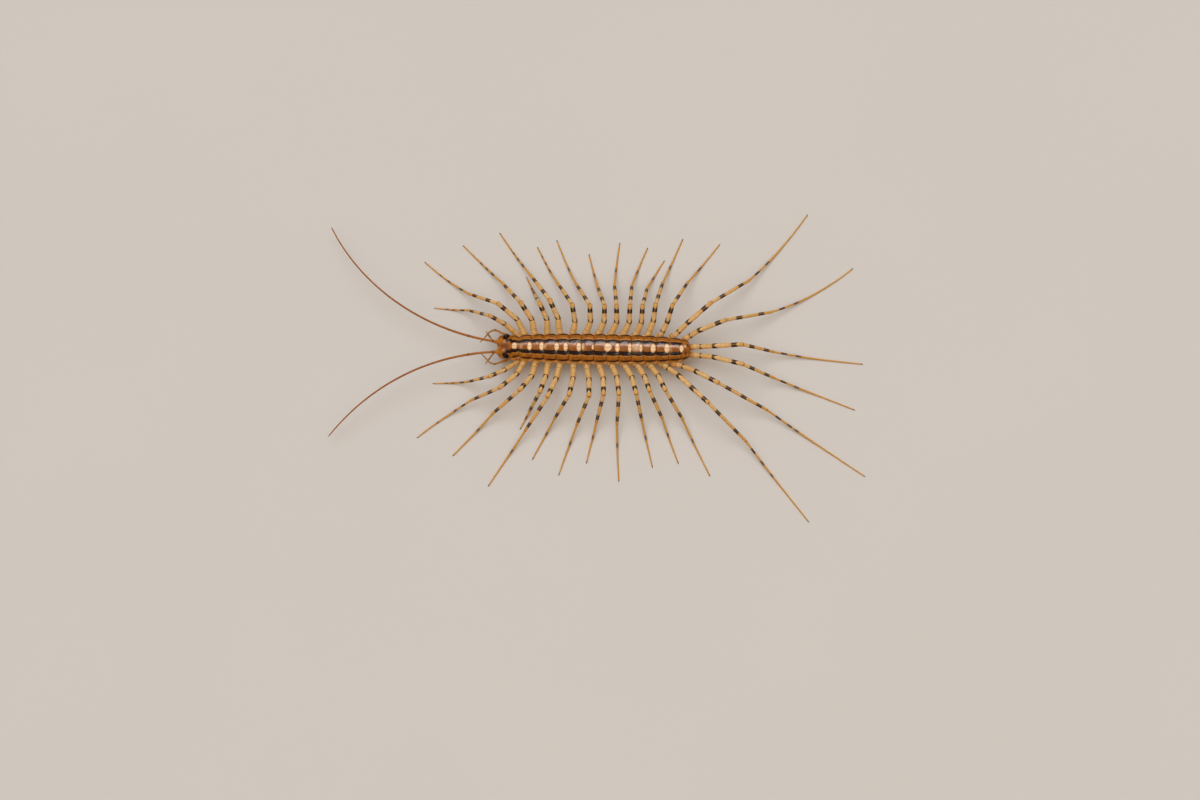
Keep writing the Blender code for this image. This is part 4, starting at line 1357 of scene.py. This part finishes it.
def build_antenna(side_name):
    """A long feeler: two stout root joints, a thin knotted stretch, then hundreds of fine rings."""
    side = SIDES[side_name]
    first, last = FEELER_HEADINGS[side_name]
    length = FEELER_LENGTHS[side_name] + (SOCKET_FRONT - FEELER_START) + FEELER_ROOT
    ends = zip((length - FEELER_TIP, length), FEELER_END_RADII)
    radii = (*FEELER_RADII, *ends)
    bm = bmesh.new()
    layers = float_layers(bm, "share", "ring", "knot")
    count = round(length / FEELER_STEP)
    point = Vector((side * SOCKET_START.x, SOCKET_FRONT + FEELER_ROOT, SOCKET_START.z))

    def ahead(share, climb):
        turn = math.radians(first + (last - first) * share)
        return Vector((side * math.sin(turn), -math.cos(turn), climb))

    frames, shares = [], []
    for index in range(count + 1):
        share = index / count
        drop = (SOCKET_START.z - FEELER_TIP_HEIGHT) * share
        point.z = SOCKET_START.z - drop + FEELER_CREST * math.sin(math.pi * share)
        climb = (FEELER_CREST * math.pi * math.cos(math.pi * share) - drop) / length
        radius = table_value(radii, share * length)[0]
        if share * length >= FEELER_SMOOTH and index % 2 == 0:
            radius *= FEELER_FURROW
        frames.append(frame_at(point.copy(), ahead(share, climb), radius, radius))
        shares.append(share)
        point += ahead(share + 0.5 / count, 0) * length / count
    for index, (share, ring) in enumerate(zip(shares, sweep(bm, frames, FEELER_SIDES))):
        knot = smooth_step(-0.03, 0.04, nearest_inside(share * length, FEELER_KNOTS))
        for vert in ring:
            write(vert, layers, share=share, ring=float(index % 2 == 0), knot=knot)
    name = f"antenna_{side_name}"
    finish_piece(f"ringed_{name}", bm, "antenna_shell", "antennae", name, sharp=80)


MOUTHPART_STEPS = 60
MOUTHPART_SIDES = 18
# Mouthparts as points along each piece with radii, for the left side.
OUTER_PALP = (
    ((1.36, -13.95, 2.42), 0.16),
    ((1.74, -14.25, 2.20), 0.19),
    ((1.98, -14.55, 2.15), 0.195),
    ((2.16, -15.05, 2.30), 0.195),
    ((2.36, -15.60, 2.50), 0.165),
    ((2.60, -16.15, 2.75), 0.145),
    ((2.68, -16.55, 2.85), 0.17),
    ((2.36, -17.30, 2.80), 0.125),
    ((1.88, -17.75, 2.65), 0.115),
    ((1.38, -18.20, 2.45), 0.10),
    ((0.75, -18.85, 2.20), 0.05),
)
INNER_PALP = (
    ((0.66, -15.80, 2.62), 0.16),
    ((0.78, -16.42, 2.35), 0.15),
    ((1.15, -16.85, 2.15), 0.14),
    ((1.75, -17.30, 2.00), 0.13),
    ((2.20, -17.65, 1.95), 0.11),
    ((2.60, -17.92, 2.00), 0.05),
)
FANG = (
    ((0.86, -13.20, 1.62), 0.30),
    ((1.00, -13.65, 1.45), 0.33),
    ((1.32, -14.40, 1.25), 0.35),
    ((1.20, -15.15, 1.25), 0.28),
    ((0.80, -15.70, 1.40), 0.18),
    ((0.38, -15.95, 1.55), 0.04),
)
# Points, first word of the piece's name, finish, and the share where its joint is.
MOUTHPARTS = {
    "palp_outer": (OUTER_PALP, "jointed", "palp_shell", 0.545),
    "palp_inner": (INNER_PALP, "jointed", "palp_shell", 0.62),
    "fang": (FANG, "venom", "fang_shell", 0.42),
}


def curve_point(points, share):
    """A point and radius on a smooth curve through a list of points and radii."""
    spans = len(points) - 1
    place = min(share * spans, spans - 1e-6)
    index = int(place)
    t = place - index
    picks = [points[min(max(index + k, 0), spans)] for k in (-1, 0, 1, 2)]
    weights = (
        (-t + 2 * t * t - t**3) / 2,
        (2 - 5 * t * t + 3 * t**3) / 2,
        (t + 4 * t * t - 3 * t**3) / 2,
        (t**3 - t * t) / 2,
    )
    centre = sum((Vector(pick[0]) * weight for pick, weight in zip(picks, weights)), Vector())
    radius = picks[1][1] + (picks[2][1] - picks[1][1]) * t
    return centre, radius


def build_mouthpart(kind, side_name):
    """A bent, tapering limb beside the mouth, with a swollen joint where it bends."""
    points, prefix, finish, knot = MOUTHPARTS[kind]
    mirror = Vector((SIDES[side_name], 1, 1))
    bm = bmesh.new()
    layers = float_layers(bm, "share", "knot")
    count = MOUTHPART_STEPS
    spots = [curve_point(points, index / count) for index in range(count + 1)]
    frames = []
    for index, (centre, radius) in enumerate(spots):
        along = spots[min(index + 1, count)][0] - spots[max(index - 1, 0)][0]
        radius *= 1 + 0.16 * hump(index / count - knot, 0.022)
        frames.append(frame_at(centre * mirror, along * mirror, radius, radius))
    for index, ring in enumerate(sweep(bm, frames, MOUTHPART_SIDES)):
        share = index / count
        for vert in ring:
            write(vert, layers, share=share, knot=0.85 * hump(share - knot - 0.02, 0.014))
    name = f"{kind}_{side_name}"
    finish_piece(f"{prefix}_{name}", bm, finish, "mouthparts", name, sharp=60)


class CENTIPEDE_OT_body_skin(bpy.types.Operator):
    """Build the soft body skin with its hips and the belly shields"""

    bl_idname = "centipede.body_skin"
    bl_label = "Body skin"

    def execute(self, context):
        build_body_skin()
        build_belly_plates()
        return {"FINISHED"}


def build_back_plate(number, settings):
    """One of the equal plates of the row. The last one has a diamond for a saddle."""
    bm = bmesh.new()
    start = TRUNK_FRONT + (number - 1) * PLATE_PITCH
    rear = start + PLATE_PITCH + settings.plate_overlap / MM
    plate_patch(bm, start + PLATE_START, rear, SADDLES[number - 1], settings, number == PLATE_COUNT)
    name, node = f"back_plate_{number:02d}", TRUNK_NODES[number - 1]
    finish_piece(name, bm, "plate_shell", "plates", node, sharp=50)


class CENTIPEDE_OT_back_plates(bpy.types.Operator):
    """Build the collar, the row of back plates and the tail plate"""

    bl_idname = "centipede.back_plates"
    bl_label = "Back plates"

    def execute(self, context):
        settings = context.scene.centipede_sizes
        build_collar_plate(settings)
        for number in range(1, PLATE_COUNT + 1):
            build_back_plate(number, settings)
        build_tail_plate(settings)
        return {"FINISHED"}


def build_collar_plate(settings):
    """The short plate behind the head, bent down at its front to meet it."""
    bm = bmesh.new()
    rear = TRUNK_FRONT + settings.plate_overlap / MM
    plate_patch(bm, COLLAR_FRONT, rear, COLLAR_SADDLE, settings)
    for vert in bm.verts:
        vert.co.z -= 0.17 * smooth_step(-13.25, COLLAR_FRONT, vert.co.y)
    finish_piece("collar_plate", bm, "plate_shell", "plates", "head", sharp=50)


def build_tail_plate(settings):
    """The last plate, squared off at its rear with a small lobe, and bent down at its end."""
    bm = bmesh.new()
    front, rear = TRUNK_REAR + PLATE_START, TAIL_END
    plate_patch(bm, front, rear, (TRUNK_REAR - 3.0, 0.5, 0.5), settings)
    layers = {name: bm.verts.layers.float[name] for name in ("bare", "pale")}
    for vert in bm.verts:
        share = max(0.0, (vert.co.y - front) / (rear - front))
        x, y, _ = vert.co
        end = TAIL_STRIPE_ENDS["left" if x > 0 else "right"]
        bare = smooth_step(0.14, 0.30, share) * (1 - 0.85 * hump(share - end, 0.10))
        pale = 0.7 * hump(y - TAIL_SPOT.y, 0.17) * hump(x - TAIL_SPOT.x, 0.22)
        write(vert, layers, bare=bare, pale=pale)
        vert.co.x *= 1 - 0.16 * share**7
        vert.co.y += (0.12 * hump(x, 0.42) - 0.05 * hump(abs(x) - 0.85, 0.2)) * share**6
        vert.co.z -= 0.10 * share + 0.42 * share**4
    finish_piece("tail_plate", bm, "plate_shell", "plates", "tail", sharp=50)


class CENTIPEDE_OT_head(bpy.types.Operator):
    """Build the head capsule and the faceted eyes"""

    bl_idname = "centipede.head"
    bl_label = "Head and eyes"

    def execute(self, context):
        build_head_capsule()
        for side_name in SIDES:
            build_eye(side_name)
        return {"FINISHED"}


class CENTIPEDE_OT_antennae(bpy.types.Operator):
    """Build the two long ringed antennae"""

    bl_idname = "centipede.antennae"
    bl_label = "Antennae"

    def execute(self, context):
        for side_name in SIDES:
            build_antenna(side_name)
        return {"FINISHED"}


class CENTIPEDE_OT_mouthparts(bpy.types.Operator):
    """Build the palps and the fangs"""

    bl_idname = "centipede.mouthparts"
    bl_label = "Mouthparts"

    def execute(self, context):
        for kind in MOUTHPARTS:
            for side_name in SIDES:
                build_mouthpart(kind, side_name)
        return {"FINISHED"}


class CENTIPEDE_OT_legs(bpy.types.Operator):
    """Build every banded leg"""

    bl_idname = "centipede.legs"
    bl_label = "Legs"

    def execute(self, context):
        settings = context.scene.centipede_sizes
        for side_name, number in EVERY_LEG:
            build_leg(side_name, number, settings)
        return {"FINISHED"}


# Camera: the photo looks almost straight down on the back, leaning to the animal's left, with the
# head to the picture's left. The picture is 1200 by 800 pixels, 6.43 to a millimetre of back.
PICTURE_SIZE = (1200, 800)
PIXELS_PER_MM = 6.43
BACK_PIXEL = (600.0, 347.2)
BACK_HEIGHT = 4.3
VIEW_LEAN = math.radians(8.0)
VIEW_ROLL = math.radians(0.98)
SENSOR_WIDTH = 36.0
# Tint of the sky's light, and the share of it that glossy surfaces mirror.
SKY_TINT = (1.0, 0.985, 0.955)
GLOSS_SHARE = 0.22
# How the floor fades towards the horizon, and so the colour of the sky that meets it.
FAR_SHARE = (0.916, 0.891, 0.878)
# Lights: place, spread in degrees or size in metres, and colour.
KEY_LIGHT = ((-0.42, -0.20, 0.90), 46, (0.675, 0.84, 1.0))
FILL_LIGHT = ((0, 0, 1), 90, (1.0, 0.79, 0.585))
SHEEN_LIGHT = ((-0.27, -0.02, 0.46), 0.15, (1.0, 0.87, 0.83))
GLINT_LIGHT = ((0.19, 0.033, 0.45), 0.03, (1.0, 0.98, 0.96))
SHEEN_SHARE = 0.8
GLINT_SHARE = 0.05
FLOOR_HALF_WIDTH = 3.0
FLOOR_CLOUD = 0.015


def build_camera(stage):
    """Looks down on the back so that the body's middle falls on its place in the picture."""
    sideways = Vector((math.cos(VIEW_LEAN), 0, -math.sin(VIEW_LEAN)))
    right = math.cos(VIEW_ROLL) * Vector((0, 1, 0)) - math.sin(VIEW_ROLL) * sideways
    down = math.sin(VIEW_ROLL) * Vector((0, 1, 0)) + math.cos(VIEW_ROLL) * sideways
    ahead = right.cross(down)
    if ahead.z > 0:
        ahead.negate()
    back = BODY_SHIFT + Vector((0, 0, BACK_HEIGHT * MM))
    lift = (BACK_PIXEL[1] - PICTURE_SIZE[1] / 2) / PIXELS_PER_MM * MM
    target = back - down * lift
    data = bpy.data.cameras.new("photo_camera")
    data.sensor_width = SENSOR_WIDTH
    width = PICTURE_SIZE[0] / PIXELS_PER_MM * MM
    data.lens = SENSOR_WIDTH * stage.camera_distance / width
    data.clip_start = 0.01
    data.clip_end = 20
    camera = bpy.data.objects.new("photo_camera", data)
    turn = Matrix((right, -down, -ahead)).transposed().to_4x4()
    camera.matrix_world = Matrix.Translation(target - ahead * stage.camera_distance) @ turn
    bpy.context.scene.collection.objects.link(camera)
    bpy.context.scene.camera = camera


def aimed_light(name, kind, place, strength, colour):
    """A light that looks from its place towards the floor under the animal."""
    data = bpy.data.lights.new(name, kind)
    data.energy = strength
    data.color = colour
    light = bpy.data.objects.new(name, data)
    light.location = place
    light.rotation_mode = "QUATERNION"
    light.rotation_quaternion = (-Vector(place)).to_track_quat("-Z", "Y")
    bpy.context.scene.collection.objects.link(light)
    return light


def sun_light(name, strength, place, spread, colour, shadow=True):
    """An even light from far off, soft by its spread in degrees and not mirrored in gloss."""
    light = aimed_light(name, "SUN", place, strength, colour)
    light.data.angle = math.radians(spread)
    light.data.use_shadow = shadow
    light.visible_glossy = False


def area_light(name, power, place, size, colour):
    """A soft disc of light that faces the animal and is only mirrored in its gloss."""
    light = aimed_light(name, "AREA", place, power, colour)
    light.data.shape = "DISK"
    light.data.size = size
    light.visible_diffuse = False


def build_floor(stage):
    bm = bmesh.new()
    bmesh.ops.create_grid(bm, x_segments=1, y_segments=1, size=FLOOR_HALF_WIDTH)
    mesh = bpy.data.meshes.new("floor")
    bm.to_mesh(mesh)
    bm.free()
    material = bpy.data.materials.new("pale_floor")
    material.use_nodes = True
    graph = Graph(material.node_tree)
    shader = material.node_tree.nodes["Principled BSDF"]
    place = graph.node("ShaderNodeTexCoord").outputs["Object"]
    cloud = graph.noise(place, 25.0, 2.0)
    shares = (1 - FLOOR_CLOUD, 1 + FLOOR_CLOUD)
    low, high = (tuple(c * share for c in stage.floor_colour) for share in shares)
    graph.feed(shader.inputs["Base Color"], graph.blend(cloud, low, high))
    shader.inputs["Roughness"].default_value = 0.85
    mesh.materials.append(material)
    floor = bpy.data.objects.new("floor", mesh)
    bpy.context.scene.collection.objects.link(floor)


def build_sky(stage):
    """Even light from all round, seen by the camera as a backdrop of the far floor's tone."""
    world = bpy.data.worlds.new("soft_sky")
    world.use_nodes = True
    graph = Graph(world.node_tree)
    background = world.node_tree.nodes["Background"]
    path = graph.node("ShaderNodeLightPath").outputs
    light = tuple(c * stage.sky_strength for c in SKY_TINT)
    mirrored = tuple(c * GLOSS_SHARE for c in light)
    colour = graph.blend(path["Is Glossy Ray"], light, mirrored)
    far_floor = tuple(c * share for c, share in zip(stage.floor_colour, FAR_SHARE))
    colour = graph.blend(path["Is Camera Ray"], colour, far_floor)
    graph.feed(background.inputs["Color"], colour)
    return world


class CENTIPEDE_OT_stage(bpy.types.Operator):
    """Build the floor, the soft light and the camera"""

    bl_idname = "centipede.stage"
    bl_label = "Stage"

    def execute(self, context):
        stage = context.scene.centipede_stage
        build_floor(stage)
        build_camera(stage)
        sun_light("key", stage.key_strength, *KEY_LIGHT)
        sun_light("warm_fill", stage.fill_strength, *FILL_LIGHT, shadow=False)
        area_light("sheen", stage.sheen_power * SHEEN_SHARE, *SHEEN_LIGHT)
        area_light("glint", stage.sheen_power * GLINT_SHARE, *GLINT_LIGHT)
        context.scene.world = build_sky(stage)
        context.scene.view_settings.view_transform = "Standard"
        return {"FINISHED"}


OPERATORS = (
    CENTIPEDE_OT_body_skin,
    CENTIPEDE_OT_back_plates,
    CENTIPEDE_OT_head,
    CENTIPEDE_OT_antennae,
    CENTIPEDE_OT_mouthparts,
    CENTIPEDE_OT_legs,
    CENTIPEDE_OT_stage,
)


class CENTIPEDE_PT_panel(bpy.types.Panel):
    """Lists the centipede's pieces in the sidebar"""

    bl_label = "House Centipede"
    bl_space_type = "VIEW_3D"
    bl_region_type = "UI"
    bl_category = "Centipede"

    def draw(self, context):
        layout = self.layout
        scene = context.scene
        for settings in (scene.centipede_sizes, scene.centipede_colours, scene.centipede_stage):
            for name in settings.__annotations__:
                layout.prop(settings, name)
        for operator in OPERATORS:
            layout.operator(operator.bl_idname)


CLASSES = (CentipedeSizes, CentipedeColours, CentipedeStage, *OPERATORS, CENTIPEDE_PT_panel)
def register():
    for item in CLASSES:
        bpy.utils.register_class(item)
    bpy.types.Scene.centipede_sizes = PointerProperty(type=CentipedeSizes)
    bpy.types.Scene.centipede_colours = PointerProperty(type=CentipedeColours)
    bpy.types.Scene.centipede_stage = PointerProperty(type=CentipedeStage)


def unregister():
    del bpy.types.Scene.centipede_stage
    del bpy.types.Scene.centipede_colours
    del bpy.types.Scene.centipede_sizes
    for item in reversed(CLASSES):
        bpy.utils.unregister_class(item)


def main():
    register()
    bpy.ops.centipede.body_skin()
    bpy.ops.centipede.back_plates()
    bpy.ops.centipede.head()
    bpy.ops.centipede.antennae()
    bpy.ops.centipede.mouthparts()
    bpy.ops.centipede.legs()
    bpy.ops.centipede.stage()


if __name__ == "__main__":
    main()
